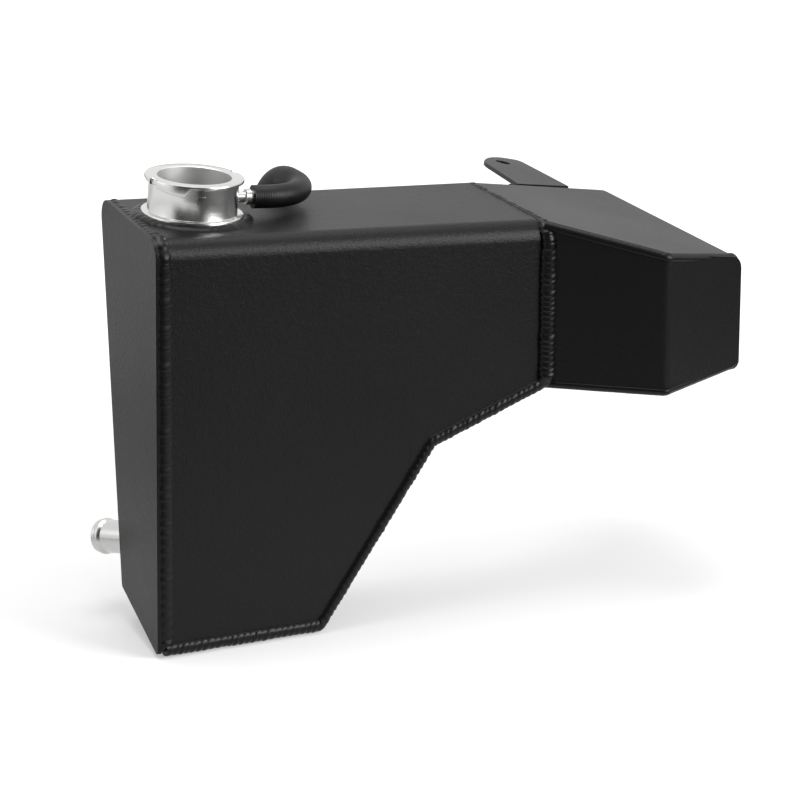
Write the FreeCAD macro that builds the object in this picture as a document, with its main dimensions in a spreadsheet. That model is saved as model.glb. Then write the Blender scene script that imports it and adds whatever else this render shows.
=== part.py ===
import FreeCAD
import Part
import Sketcher
import math
import os

# Coolant expansion tank, welded from sheet aluminium, in millimetres, +Z up.
# The tank's own corner is the lower left corner of its front face. +X runs along the front
# face to the chamber, +Y runs to the rear. The model's origin is the centre of the hole in
# the mounting tab, because the tank is placed in the engine bay by that hole.

Vector = FreeCAD.Vector
doc = FreeCAD.newDocument("coolant_expansion_tank")

# Driving dimensions
SIZES = (
    # sheet and folds
    ("sheet_thickness", 2.5),
    ("wrapper_bend", 11.0),
    ("chamber_bend", 9.0),
    ("front_bend", 6.0),
    # main tank
    ("main_height", 240.6),
    ("main_length", 242.4),
    ("main_depth", 106.0),
    ("top_slope", 4.16),
    ("rear_lean", 9.56),
    ("end_turn", 7.39),
    ("bottom_rise", 15.2),
    ("flat_length", 102.0),
    ("knee_x", 172.5),
    ("knee_z", 100.6),
    ("seam_z", 125.7),
    # chamber
    ("chamber_length", 119.6),
    ("chamber_slope", 14.38),
    ("nose_x", 55.5),
    ("nose_reach", 44.0),
    ("corner_reach", 15.6),
    ("rear_flare", 51.5),
    # weld beads
    ("bead_radius", 4.1),
    ("bead_inset", 2.2),
    ("left_bead_radius", 3.4),
    ("left_bead_shift", 4.9),
    ("left_bead_turn", 1.5),
    ("left_bead_inset", 1.6),
    ("seam_bead_radius", 4.5),
    ("seam_bead_shift", 1.2),
    ("seam_bead_proud", 0.9),
    ("seam_bead_top", 4.0),
    ("edge_bead_radius", 2.6),
    ("edge_bead_inset", 1.3),
    ("edge_bead_side", 3.4),
    ("ring_width", 4.6),
    ("ring_height", 2.6),
    # filler neck
    ("neck_x", 45.5),
    ("neck_y", 51.8),
    ("neck_bore", 42.0),
    ("neck_wall", 4.3),
    ("neck_height", 23.6),
    ("flange_width", 3.5),
    ("flange_height", 3.3),
    ("lip_width", 2.7),
    ("lip_height", 2.0),
    ("rim_start", 0.3),
    ("rim_end", 5.4),
    ("rim_reach", 16.0),
    ("rim_turn", 205.3),
    ("notch_turn", 190.0),
    ("notch_width", 6.2),
    ("notch_depth", 2.2),
    ("stop_turn", 255.0),
    ("stop_width", 4.5),
    ("stop_height", 2.0),
    ("stop_proud", 0.9),
    ("stop_depth", 8.2),
    ("seat_bore", 33.0),
    ("seat_height", 2.5),
    ("seat_depth", 25.4),
    ("neck_hole_depth", 20.0),
    # overflow hose and its two fittings
    ("hose_bore", 8.0),
    ("hose_wall", 2.65),
    ("nipple_height", 10.8),
    ("nipple_turn", 7.0),
    ("nipple_reach", 14.0),
    ("hose_start", 9.7),
    ("hose_side_run", 42.5),
    ("hose_side_bend", 29.0),
    ("hose_rear_run", 4.9),
    ("hose_rear_bend", 42.0),
    ("hose_drop", 10.0),
    ("elbow_bend", 9.0),
    ("elbow_leg", 9.5),
    ("fitting_wall", 1.5),
    ("barb_height", 0.6),
    # outlet pipe
    ("outlet_bore", 15.9),
    ("outlet_wall", 1.6),
    ("outlet_x", 26.0),
    ("outlet_z", 43.2),
    ("outlet_turn", 25.7),
    ("outlet_dip", 9.3),
    ("outlet_length", 34.0),
    ("outlet_tip", 2.5),
    ("outlet_inside", 10.0),
    ("outlet_bead_height", 0.9),
    ("outlet_bead_width", 2.4),
    # mounting tab
    ("tab_thickness", 2.5),
    ("tab_left", 36.0),
    ("tab_right", 89.0),
    ("tab_taper", 12.0),
    ("tab_reach", 202.0),
    ("tab_left_corner", 22.0),
    ("tab_right_corner", 10.0),
    ("tab_hole_x", 70.0),
    ("tab_hole_y", 185.0),
    ("tab_hole", 9.0),
    ("tab_step", 0.4),
    # room that the cutting forms are given past the part
    ("overrun", 50.0),
    ("room", 300.0),
    ("blank_side", 700.0),
)

sheet = doc.addObject("Spreadsheet::Sheet", "Sizes")
for row, (alias, amount) in enumerate(SIZES, start=1):
    sheet.set("A%d" % row, alias)
    sheet.set("B%d" % row, str(amount))
    sheet.setAlias("B%d" % row, alias)
doc.recompute()


def size(name):
    return float(sheet.get(name))


# Expressions that more than one piece uses
TOP_AT_SEAM = "(Sizes.main_height - Sizes.main_length * tan(Sizes.top_slope ))"
SEAM = "Sizes.main_length"
CHAMBER_END = "(Sizes.main_length + Sizes.chamber_length)"
TAB_DEPTH = "(Sizes.tab_step + Sizes.tab_thickness / 2)"
TAB_HOLE_X = "(Sizes.main_length + Sizes.tab_hole_x - %s * sin(Sizes.chamber_slope))" % TAB_DEPTH
TAB_HOLE_Z = (
    "(%s - Sizes.tab_hole_x * tan(Sizes.chamber_slope) - %s * cos(Sizes.chamber_slope))"
    % (TOP_AT_SEAM, TAB_DEPTH)
)
DATUM = ("-" + TAB_HOLE_X, "-Sizes.tab_hole_y", "-" + TAB_HOLE_Z)


def value(expression):
    """The number that an expression on the sheet has now."""
    result = sheet.evalExpression(expression)
    return float(getattr(result, "Value", result))


def place(item, offset=("0", "0", "0"), rotation=None):
    """Stands an object on the tank's corner, moved by an offset and turned by a rotation."""
    item.Placement = FreeCAD.Placement(Vector(0, 0, 0), rotation or FreeCAD.Rotation())
    for axis, datum, part in zip("xyz", DATUM, offset):
        item.setExpression("Placement.Base.%s" % axis, "%s + (%s)" % (datum, part))
    return item


def turn(axis, expression):
    return FreeCAD.Rotation(axis, value(expression))


def new_body(name, offset=("0", "0", "0"), rotation=None):
    return place(doc.addObject("PartDesign::Body", name), offset, rotation)


def plane(body, role):
    return [item for item in body.Origin.OriginFeatures if item.Role == role][0]


def outline(body, role, name, corners):
    """A closed outline of straight lines, each corner held by two expressions."""
    sketch = body.newObject("Sketcher::SketchObject", name)
    sketch.AttachmentSupport = (plane(body, role), [""])
    sketch.MapMode = "FlatFace"
    places = [Vector(value(across), value(up), 0) for across, up in corners]
    for number, start in enumerate(places):
        sketch.addGeometry(Part.LineSegment(start, places[(number + 1) % len(places)]), False)
    for number in range(len(places)):
        after = (number + 1) % len(places)
        sketch.addConstraint(Sketcher.Constraint("Coincident", number, 2, after, 1))
    for number, corner in enumerate(corners):
        for kind, now, text in zip(("DistanceX", "DistanceY"), places[number], corner):
            held = sketch.addConstraint(Sketcher.Constraint(kind, -1, 1, number, 1, now))
            sketch.setExpression("Constraints[%d]" % held, text)
    return sketch


def circle(body, role, name, radius, across="0", up="0"):
    sketch = body.newObject("Sketcher::SketchObject", name)
    sketch.AttachmentSupport = (plane(body, role), [""])
    sketch.MapMode = "FlatFace"
    centre = Vector(value(across), value(up), 0)
    sketch.addGeometry(Part.Circle(centre, Vector(0, 0, 1), value(radius)), False)
    held = sketch.addConstraint(Sketcher.Constraint("Radius", 0, value(radius)))
    sketch.setExpression("Constraints[%d]" % held, radius)
    for kind, text in (("DistanceX", across), ("DistanceY", up)):
        held = sketch.addConstraint(Sketcher.Constraint(kind, -1, 1, 0, 3, value(text)))
        sketch.setExpression("Constraints[%d]" % held, text)
    return sketch


def pad(body, sketch, name, length, both=False, along=None, back=False):
    feature = body.newObject("PartDesign::Pad", name)
    feature.Profile = sketch
    feature.setExpression("Length", length)
    feature.Midplane = both
    feature.Reversed = back
    if along is not None:
        feature.UseCustomVector = True
        feature.Direction = along
        feature.AlongSketchNormal = True
    return feature


def pocket(body, sketch, name, length, both=True, along=None, back=False):
    feature = body.newObject("PartDesign::Pocket", name)
    feature.Profile = sketch
    feature.setExpression("Length", length)
    feature.Midplane = both
    feature.Reversed = back
    if along is not None:
        feature.UseCustomVector = True
        feature.Direction = along
        feature.AlongSketchNormal = True
    return feature


def edge_between(shape, first, second):
    """The name of the straight edge whose middle lies between two points."""
    middle = (first + second) * 0.5
    best = None
    for number, edge in enumerate(shape.Edges, start=1):
        if len(edge.Vertexes) < 2:
            continue
        half = (edge.Vertexes[0].Point + edge.Vertexes[-1].Point) * 0.5
        gap = (half - middle).Length
        if best is None or gap < best[0]:
            best = (gap, "Edge%d" % number)
    return best[1]


def fold(body, name, ends, radius):
    """Rounds the straight edges that run between the given pairs of points."""
    doc.recompute()
    base = body.Tip
    names = [edge_between(base.Shape, first, second) for first, second in ends]
    feature = body.newObject("PartDesign::Fillet", name)
    feature.Base = (base, names)
    feature.setExpression("Radius", radius)
    doc.recompute()
    return feature


def revolve(body, sketch, name):
    feature = body.newObject("PartDesign::Revolution", name)
    feature.Profile = sketch
    feature.ReferenceAxis = (sketch, ["V_Axis"])
    feature.Angle = 360
    return feature


def slab(name, offset, rotation=None):
    """A plate blank of one sheet's thickness is cut from a box like this one."""
    box = place(doc.addObject("Part::Box", name), offset, rotation)
    for side in ("Length", "Width", "Height"):
        box.setExpression(side, "Sizes.blank_side")
    return box


def group(name, items):
    compound = doc.addObject("Part::Compound", name)
    compound.Links = items
    return compound


def common(name, base, tool):
    item = doc.addObject("Part::Common", name)
    item.Base = base
    item.Tool = tool
    return item


def cut(name, base, tools):
    item = doc.addObject("Part::Cut", name)
    item.Base = base
    item.Tool = tools[0] if len(tools) == 1 else group(name + "_tools", tools)
    return item


# Faces of the tank as planes, each with its outward normal, so that weld paths can be found
# where three faces meet, at any depth below them
class Face:
    def __init__(self, point, normal):
        self.normal = normal.normalize()
        self.distance = point.dot(self.normal)


def meet(first, second, third, inset=(0, 0, 0)):
    """The point where three faces meet, each face taken its own inset below its surface."""
    planes = (first, second, third)
    rows = [face.normal for face in planes]
    depths = [face.distance - depth for face, depth in zip(planes, inset)]
    across = rows[1].cross(rows[2]) * depths[0]
    across = across + rows[2].cross(rows[0]) * depths[1]
    across = across + rows[0].cross(rows[1]) * depths[2]
    return across * (1.0 / rows[0].dot(rows[1].cross(rows[2])))


def angle(name):
    return math.radians(size(name))


def heading(turned):
    """A direction in the XZ or XY plane, from its angle."""
    return Vector(math.cos(turned), math.sin(turned), 0)


seam_x = size("main_length")
seam_top = value(TOP_AT_SEAM)
chamber_end = value(CHAMBER_END)
steep_turn = math.atan2(size("knee_z"), size("knee_x") - size("flat_length"))
shallow_turn = math.atan2(size("seam_z") - size("knee_z"), seam_x - size("knee_x"))
left_turn = math.atan2(-size("nose_reach"), size("nose_x"))
right_turn = math.atan2(size("nose_reach") - size("corner_reach"), size("chamber_length") - size("nose_x"))
flare_turn = math.atan2(size("rear_flare"), size("chamber_length"))
ALONG_TOP = Vector(math.cos(angle("top_slope")), 0, -math.sin(angle("top_slope")))
UP_REAR = Vector(0, math.sin(angle("rear_lean")), math.cos(angle("rear_lean")))
rear_corner = Vector(0, size("main_depth"), size("main_height"))
seam_rear = Vector(seam_x, size("main_depth"), seam_top)

FRONT = Face(Vector(0, 0, 0), Vector(0, -1, 0))
TOP = Face(rear_corner, Vector(0, 1, 0).cross(ALONG_TOP) * -1)
REAR = Face(rear_corner, UP_REAR.cross(ALONG_TOP))
LEFT = Face(Vector(0, 0, 0), Vector(-math.cos(angle("end_turn")), math.sin(angle("end_turn")), 0))
BOTTOM = Face(Vector(0, 0, 0), Vector(0, math.sin(angle("bottom_rise")), -math.cos(angle("bottom_rise"))))
knee = Vector(size("knee_x"), 0, size("knee_z"))
STEEP = Face(knee, Vector(math.sin(steep_turn), 0, -math.cos(steep_turn)))
SHALLOW = Face(knee, Vector(math.sin(shallow_turn), 0, -math.cos(shallow_turn)))
SEAM_END = Face(Vector(seam_x, 0, 0), Vector(1, 0, 0))
CHAMBER_TOP = Face(Vector(seam_x, 0, seam_top),
                   Vector(math.sin(angle("chamber_slope")), 0, math.cos(angle("chamber_slope"))))
CHAMBER_SIDE = Face(Vector(chamber_end, 0, 0), Vector(1, 0, 0))
CHAMBER_FLOOR = Face(Vector(0, 0, size("seam_z")), Vector(0, 0, -1))
NOSE_LEFT = Face(Vector(seam_x, 0, 0), heading(left_turn - math.pi / 2))
NOSE_RIGHT = Face(Vector(chamber_end, -size("corner_reach"), 0), heading(right_turn - math.pi / 2))
CHAMBER_REAR = Face(seam_rear, UP_REAR.cross(heading(flare_turn)))
for face, outside in ((TOP, Vector(0, 0, 1)), (REAR, Vector(0, 1, 0)), (CHAMBER_REAR, Vector(0, 1, 0))):
    if face.normal.dot(outside) < 0:
        face.normal = face.normal * -1
        face.distance = -face.distance

# Outer form of the main tank. Front, top and rear are one folded sheet, so the section is
# pushed along the slope of the top, and the two folds run parallel to it.


def wrapper_form(name, inset, start):
    """The folded section of the main tank, its faces moved in by an inset."""
    form = new_body(name, (start, "0", "-(%s) * tan(Sizes.top_slope)" % start))
    section = outline(form, "YZ_Plane", name + "_section", (
        (inset, "-Sizes.overrun"),
        (inset, "Sizes.main_height - %s / cos(Sizes.top_slope)" % inset),
        ("Sizes.main_depth - (%s) * (1 / cos(Sizes.rear_lean) + tan(Sizes.rear_lean))" % inset,
         "Sizes.main_height - %s / cos(Sizes.top_slope)" % inset),
        ("Sizes.main_depth - (%s) / cos(Sizes.rear_lean)"
         " - (Sizes.main_height + Sizes.overrun) * tan(Sizes.rear_lean)" % inset, "-Sizes.overrun"),
    ))
    pad(form, section, name + "_block", SEAM + " - (%s)" % start, along=ALONG_TOP)
    doc.recompute()
    run = ALONG_TOP * (value(SEAM + " - (%s)" % start) / ALONG_TOP.x)
    corners = [point for point in section.Shape.Vertexes if point.Z > 0]
    folds = [(corner.Point, corner.Point + run) for corner in corners]
    fold(form, name + "_folds", folds, "Sizes.wrapper_bend - " + inset)
    return form


main_form = wrapper_form("main_form", "0", "0")
left_line = outline(main_form, "XY_Plane", "left_end_line", (
    ("-Sizes.overrun", "-Sizes.overrun"),
    ("-Sizes.overrun * tan(Sizes.end_turn)", "-Sizes.overrun"),
    ("Sizes.room * tan(Sizes.end_turn)", "Sizes.room"),
    ("-Sizes.overrun", "Sizes.room"),
))
pocket(main_form, left_line, "left_end_cut", "Sizes.blank_side")
slope_lines = outline(main_form, "XZ_Plane", "slope_lines", (
    ("Sizes.flat_length - 2 * Sizes.overrun * (Sizes.knee_x - Sizes.flat_length) / Sizes.knee_z",
     "-2 * Sizes.overrun"),
    ("Sizes.knee_x", "Sizes.knee_z"),
    (SEAM, "Sizes.seam_z"),
    ("Sizes.main_length + 2 * Sizes.overrun", "Sizes.seam_z"),
    ("Sizes.main_length + 2 * Sizes.overrun", "-2 * Sizes.overrun"),
))
pocket(main_form, slope_lines, "slopes_cut", "Sizes.blank_side")
bottom_line = outline(main_form, "YZ_Plane", "bottom_line", (
    ("-Sizes.overrun", "-Sizes.overrun * tan(Sizes.bottom_rise)"),
    ("4 * Sizes.overrun", "4 * Sizes.overrun * tan(Sizes.bottom_rise)"),
    ("4 * Sizes.overrun", "-4 * Sizes.overrun"),
    ("-Sizes.overrun", "-4 * Sizes.overrun"),
))
pocket(main_form, bottom_line, "bottom_cut", "Sizes.blank_side")
main_hollow = wrapper_form("main_hollow", "Sizes.sheet_thickness", "-20")

# Blanks that the plates of the main tank are cut from
left_blank = slab("left_blank",
                  ("-Sizes.overrun * sin(Sizes.end_turn)", "-Sizes.overrun * cos(Sizes.end_turn)",
                   "-Sizes.overrun"),
                  turn(Vector(0, 0, 1), "-Sizes.end_turn"))
left_blank.setExpression("Length", "Sizes.sheet_thickness")
bottom_blank = slab("bottom_blank",
                    ("-Sizes.overrun", "-Sizes.overrun * cos(Sizes.bottom_rise)",
                     "-Sizes.overrun * sin(Sizes.bottom_rise)"),
                    turn(Vector(1, 0, 0), "Sizes.bottom_rise"))
bottom_blank.setExpression("Height", "Sizes.sheet_thickness")
STEEP_TURN = "atan(Sizes.knee_z / (Sizes.knee_x - Sizes.flat_length))"
SHALLOW_TURN = "atan((Sizes.seam_z - Sizes.knee_z) / (Sizes.main_length - Sizes.knee_x))"
INNER_KNEE = "Sizes.sheet_thickness / (1 + cos(%s - %s))" % (STEEP_TURN, SHALLOW_TURN)
slope_blank = new_body("slope_blank")
slope_band = outline(slope_blank, "XZ_Plane", "slope_band", (
    ("Sizes.flat_length - 2 * Sizes.overrun / tan(%s)" % STEEP_TURN, "-2 * Sizes.overrun"),
    ("Sizes.knee_x", "Sizes.knee_z"),
    ("Sizes.main_length + Sizes.overrun", "Sizes.seam_z + Sizes.overrun * tan(%s)" % SHALLOW_TURN),
    ("Sizes.main_length + Sizes.overrun", "Sizes.seam_z + Sizes.overrun * tan(%s)"
     " + Sizes.sheet_thickness / cos(%s)" % (SHALLOW_TURN, SHALLOW_TURN)),
    ("Sizes.knee_x - (sin(%s) + sin(%s)) * %s" % (STEEP_TURN, SHALLOW_TURN, INNER_KNEE),
     "Sizes.knee_z + (cos(%s) + cos(%s)) * %s" % (STEEP_TURN, SHALLOW_TURN, INNER_KNEE)),
    ("Sizes.flat_length - 2 * Sizes.overrun / tan(%s) - Sizes.sheet_thickness / sin(%s)"
     % (STEEP_TURN, STEEP_TURN), "-2 * Sizes.overrun"),
))
pad(slope_blank, slope_band, "slope_strip", "Sizes.blank_side", both=True)

# Outer form of the chamber. Its top, right wall and rear wall are one folded sheet.
FRONT_SLOPE = "(Sizes.nose_reach - Sizes.corner_reach) / (Sizes.chamber_length - Sizes.nose_x)"
FLARE = "Sizes.rear_flare / Sizes.chamber_length"
FAR_X = "(Sizes.main_length + Sizes.chamber_length + Sizes.overrun)"
REAR_AT_GROUND = "(Sizes.main_depth - %s * tan(Sizes.rear_lean))" % TOP_AT_SEAM


def chamber_solid(name, inset, start):
    """The chamber's form, its top, right wall and rear wall moved in by an inset."""
    form = new_body(name)
    high = TOP_AT_SEAM + " - %s / cos(Sizes.chamber_slope)" % inset
    profile = outline(form, "XZ_Plane", name + "_profile", (
        ("Sizes.main_length - " + start, "Sizes.seam_z"),
        (CHAMBER_END + " - " + inset, "Sizes.seam_z"),
        (CHAMBER_END + " - " + inset,
         high + " - (Sizes.chamber_length - %s) * tan(Sizes.chamber_slope)" % inset),
        ("Sizes.main_length - " + start, high + " + %s * tan(Sizes.chamber_slope)" % start),
    ))
    pad(form, profile, name + "_block", "Sizes.blank_side", both=True)
    back = "%s - %s / cos(atan(%s)) / cos(Sizes.rear_lean)" % (REAR_AT_GROUND, inset, FLARE)
    rear = outline(form, "XY_Plane", name + "_rear_line", (
        ("Sizes.main_length - 30", "%s - 30 * %s" % (back, FLARE)),
        (FAR_X, "%s + (Sizes.chamber_length + Sizes.overrun) * %s" % (back, FLARE)),
        (FAR_X, "Sizes.room + 3 * Sizes.overrun"),
        ("Sizes.main_length - 30", "Sizes.room + 3 * Sizes.overrun"),
    ))
    pocket(form, rear, name + "_rear_cut", "Sizes.blank_side", along=UP_REAR)
    doc.recompute()
    depth = value(inset)
    side = (depth, depth, depth)
    far_rear = meet(CHAMBER_TOP, CHAMBER_SIDE, CHAMBER_REAR, side)
    near_rear = meet(CHAMBER_TOP, Face(Vector(value("Sizes.main_length - " + start), 0, 0), Vector(1, 0, 0)),
                     CHAMBER_REAR, (depth, 0, depth))
    far_front = Vector(far_rear.x, form.Tip.Shape.BoundBox.YMin, far_rear.z)
    return form, near_rear, far_rear, far_front


chamber_form, near_rear, far_rear, far_front = chamber_solid("chamber_form", "0", "0")
front_lines = outline(chamber_form, "XY_Plane", "chamber_front_lines", (
    ("Sizes.main_length - 30", "30 * Sizes.nose_reach / Sizes.nose_x"),
    ("Sizes.main_length + Sizes.nose_x", "-Sizes.nose_reach"),
    (FAR_X, "-Sizes.corner_reach + Sizes.overrun * " + FRONT_SLOPE),
    (FAR_X, "-Sizes.blank_side"),
    ("Sizes.main_length - 30", "-Sizes.blank_side"),
))
pocket(chamber_form, front_lines, "chamber_front_cut", "Sizes.blank_side")
doc.recompute()
nose_top = meet(CHAMBER_TOP, NOSE_LEFT, NOSE_RIGHT)
nose_floor = meet(CHAMBER_FLOOR, NOSE_LEFT, NOSE_RIGHT)
corner_top = meet(CHAMBER_TOP, CHAMBER_SIDE, NOSE_RIGHT)
fold(chamber_form, "nose_fold", ((nose_top, nose_floor),), "Sizes.front_bend")
fold(chamber_form, "side_fold", ((corner_top, far_rear),), "Sizes.chamber_bend")
fold(chamber_form, "rear_fold", ((near_rear, far_rear),), "Sizes.chamber_bend")
chamber_hollow, near_rear, far_rear, far_front = chamber_solid(
    "chamber_hollow", "Sizes.sheet_thickness", "20")
INNER_BEND = "Sizes.chamber_bend - Sizes.sheet_thickness"
fold(chamber_hollow, "hollow_side_fold", ((far_front, far_rear),), INNER_BEND)
fold(chamber_hollow, "hollow_rear_fold", ((near_rear, far_rear),), INNER_BEND)

# Blanks that the plates of the chamber are cut from
LEFT_TURN = "atan(-Sizes.nose_reach / Sizes.nose_x)"
RIGHT_TURN = "atan(%s)" % FRONT_SLOPE
INNER_NOSE = "Sizes.sheet_thickness / (1 + cos(%s - %s))" % (LEFT_TURN, RIGHT_TURN)
front_blank = new_body("front_blank")
front_band = outline(front_blank, "XY_Plane", "front_band", (
    ("Sizes.main_length - 30", "30 * Sizes.nose_reach / Sizes.nose_x"),
    ("Sizes.main_length + Sizes.nose_x", "-Sizes.nose_reach"),
    (FAR_X, "-Sizes.corner_reach + Sizes.overrun * " + FRONT_SLOPE),
    (FAR_X, "-Sizes.corner_reach + Sizes.overrun * %s + Sizes.sheet_thickness / cos(%s)"
     % (FRONT_SLOPE, RIGHT_TURN)),
    ("Sizes.main_length + Sizes.nose_x - (sin(%s) + sin(%s)) * %s" % (LEFT_TURN, RIGHT_TURN, INNER_NOSE),
     "-Sizes.nose_reach + (cos(%s) + cos(%s)) * %s" % (LEFT_TURN, RIGHT_TURN, INNER_NOSE)),
    ("Sizes.main_length - 30",
     "30 * Sizes.nose_reach / Sizes.nose_x + Sizes.sheet_thickness / cos(%s)" % LEFT_TURN),
))
pad(front_blank, front_band, "front_strip", "Sizes.blank_side", both=True)
doc.recompute()
sheet_in = size("sheet_thickness")
inner_nose = meet(Face(Vector(0, 0, 0), Vector(0, 0, 1)), NOSE_LEFT, NOSE_RIGHT, (0, sheet_in, sheet_in))
fold(front_blank, "inner_nose_fold", ((inner_nose, inner_nose),), "Sizes.front_bend - Sizes.sheet_thickness")
floor_blank = slab("floor_blank", ("Sizes.main_length", "-300", "Sizes.seam_z"))
floor_blank.setExpression("Height", "Sizes.sheet_thickness")

# Weld beads are tubes along the joints, half sunk into them


def rounded_path(corners, radii, closed):
    """A wire of straight runs joined by tangent arcs."""
    count = len(corners)
    edges = []
    arcs = {}
    for number in range(count):
        if not closed and number in (0, count - 1):
            continue
        before = (corners[number - 1] - corners[number]).normalize()
        after = (corners[(number + 1) % count] - corners[number]).normalize()
        half = before.getAngle(after) / 2
        back = radii[number] / math.tan(half)
        start = corners[number] + before * back
        end = corners[number] + after * back
        out = (before + after).normalize()
        middle = corners[number] + out * (radii[number] / math.sin(half) - radii[number])
        arcs[number] = (start, middle, end)
    for number in range(count):
        if number in arcs:
            edges.append(Part.Arc(*arcs[number]).toShape())
        following = (number + 1) % count
        if following == 0 and not closed:
            break
        start = arcs[number][2] if number in arcs else corners[number]
        end = arcs[following][0] if following in arcs else corners[following]
        edges.append(Part.LineSegment(start, end).toShape())
    return Part.Wire(edges)


def sweep(path, radius, closed):
    first = path.Edges[0]
    start = first.firstVertex(True).Point if first.Orientation == "Forward" else first.lastVertex(True).Point
    direction = first.tangentAt(first.FirstParameter)
    profile = Part.Wire([Part.Circle(start, direction, radius).toShape()])
    return path.makePipeShell([profile], True, False)


def tube(name, corners, radii, radius, closed=False):
    path = rounded_path(corners, radii, closed)
    item = doc.addObject("Part::Feature", name)
    item.Shape = sweep(path, radius, closed)
    return place(item)


BEAD = size("bead_radius")
SUNK = size("bead_inset")
EDGE = size("edge_bead_radius")
EDGE_SUNK = size("edge_bead_inset")
EDGE_SIDE = size("edge_bead_side")
LEFT_SUNK = size("left_bead_inset")
SEAM_ON = -size("seam_bead_shift")
PROUD = -size("seam_bead_proud")
SEAM_SUNK = size("seam_bead_top")
LOOSE = 1.15
deep = (SUNK, SUNK, SUNK)
at_left = (0, LEFT_SUNK, LEFT_SUNK)
at_foot = (0, SUNK, SUNK)
left_bead_turned = angle("end_turn") - angle("left_bead_turn")
LEFT_LINE = Face(Vector(size("left_bead_shift"), 0, 0),
                 Vector(-math.cos(left_bead_turned), math.sin(left_bead_turned), 0))
at_seam = (0, SUNK, SUNK)
at_edge = (EDGE_SUNK, EDGE_SUNK, EDGE_SUNK)
at_side = (EDGE_SUNK, EDGE_SIDE, EDGE_SUNK)
at_root = (0, EDGE_SUNK, EDGE_SUNK)
turn_left = size("left_bead_radius") * LOOSE
fold_left = size("wrapper_bend") - LEFT_SUNK
turn_seam = size("seam_bead_radius") * LOOSE
fold_seam = size("wrapper_bend") - SUNK
left_bead = tube("weld_left_end_tube", [
    meet(LEFT_LINE, FRONT, TOP, at_left), meet(LEFT_LINE, TOP, REAR, at_left),
    meet(LEFT_LINE, REAR, BOTTOM, at_left), meet(LEFT_LINE, BOTTOM, FRONT, at_left),
], [fold_left, fold_left, turn_left, turn_left], size("left_bead_radius"), closed=True)
seam_bead = tube("weld_seam_tube", [
    meet(SEAM_END, FRONT, TOP, (SEAM_ON, PROUD, SEAM_SUNK)),
    meet(SEAM_END, TOP, REAR, (SEAM_ON, SEAM_SUNK, SUNK)),
    meet(SEAM_END, REAR, CHAMBER_FLOOR, (SEAM_ON, SUNK, SUNK)),
    meet(SEAM_END, CHAMBER_FLOOR, FRONT, (SEAM_ON, SUNK, PROUD)),
], [fold_seam, fold_seam, turn_seam, turn_seam], size("seam_bead_radius"), closed=True)
front_bead = tube("weld_lower_front_tube", [
    meet(LEFT_LINE, BOTTOM, FRONT, at_foot), meet(BOTTOM, STEEP, FRONT, deep),
    meet(STEEP, SHALLOW, FRONT, deep), meet(SEAM_END, SHALLOW, FRONT, at_seam),
], [0, BEAD * LOOSE, BEAD * LOOSE, 0], BEAD)
rear_bead = tube("weld_lower_rear_tube", [
    meet(LEFT_LINE, BOTTOM, REAR, at_foot), meet(BOTTOM, STEEP, REAR, deep),
    meet(STEEP, SHALLOW, REAR, deep), meet(SEAM_END, SHALLOW, REAR, at_seam),
], [0, BEAD * LOOSE, BEAD * LOOSE, 0], BEAD)
bottom_bead = tube("weld_bottom_joint_tube", [
    meet(BOTTOM, STEEP, FRONT, deep), meet(BOTTOM, STEEP, REAR, deep),
], [0, 0], BEAD)
nose_bead = tube("weld_chamber_front_tube", [
    meet(SEAM_END, CHAMBER_TOP, NOSE_LEFT, at_root),
    meet(CHAMBER_TOP, NOSE_LEFT, NOSE_RIGHT, at_edge),
    meet(CHAMBER_TOP, NOSE_RIGHT, CHAMBER_SIDE, at_side),
    meet(CHAMBER_FLOOR, NOSE_RIGHT, CHAMBER_SIDE, at_side),
    meet(CHAMBER_FLOOR, NOSE_LEFT, NOSE_RIGHT, at_edge),
    meet(SEAM_END, CHAMBER_FLOOR, NOSE_LEFT, at_root),
], [0, EDGE * LOOSE, size("chamber_bend") - EDGE_SUNK, EDGE * LOOSE, EDGE * LOOSE, 0], EDGE)
floor_bead = tube("weld_chamber_floor_tube", [
    meet(CHAMBER_FLOOR, NOSE_RIGHT, CHAMBER_SIDE, at_side),
    meet(CHAMBER_FLOOR, CHAMBER_REAR, CHAMBER_SIDE, at_edge),
    meet(SEAM_END, CHAMBER_FLOOR, CHAMBER_REAR, at_root),
], [0, EDGE * LOOSE, 0], EDGE)
fold_depth = size("chamber_bend") * math.tan(math.pi / 4 + angle("rear_lean") / 2) + EDGE
corner_bead = tube("weld_chamber_corner_tube", [
    meet(CHAMBER_FLOOR, CHAMBER_REAR, CHAMBER_SIDE, at_edge),
    meet(CHAMBER_TOP, CHAMBER_REAR, CHAMBER_SIDE, (fold_depth, EDGE_SUNK, EDGE_SUNK)),
], [0, 0], EDGE)
all_beads = [left_bead, seam_bead, front_bead, rear_bead, bottom_bead, nose_bead, floor_bead, corner_bead]


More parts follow.
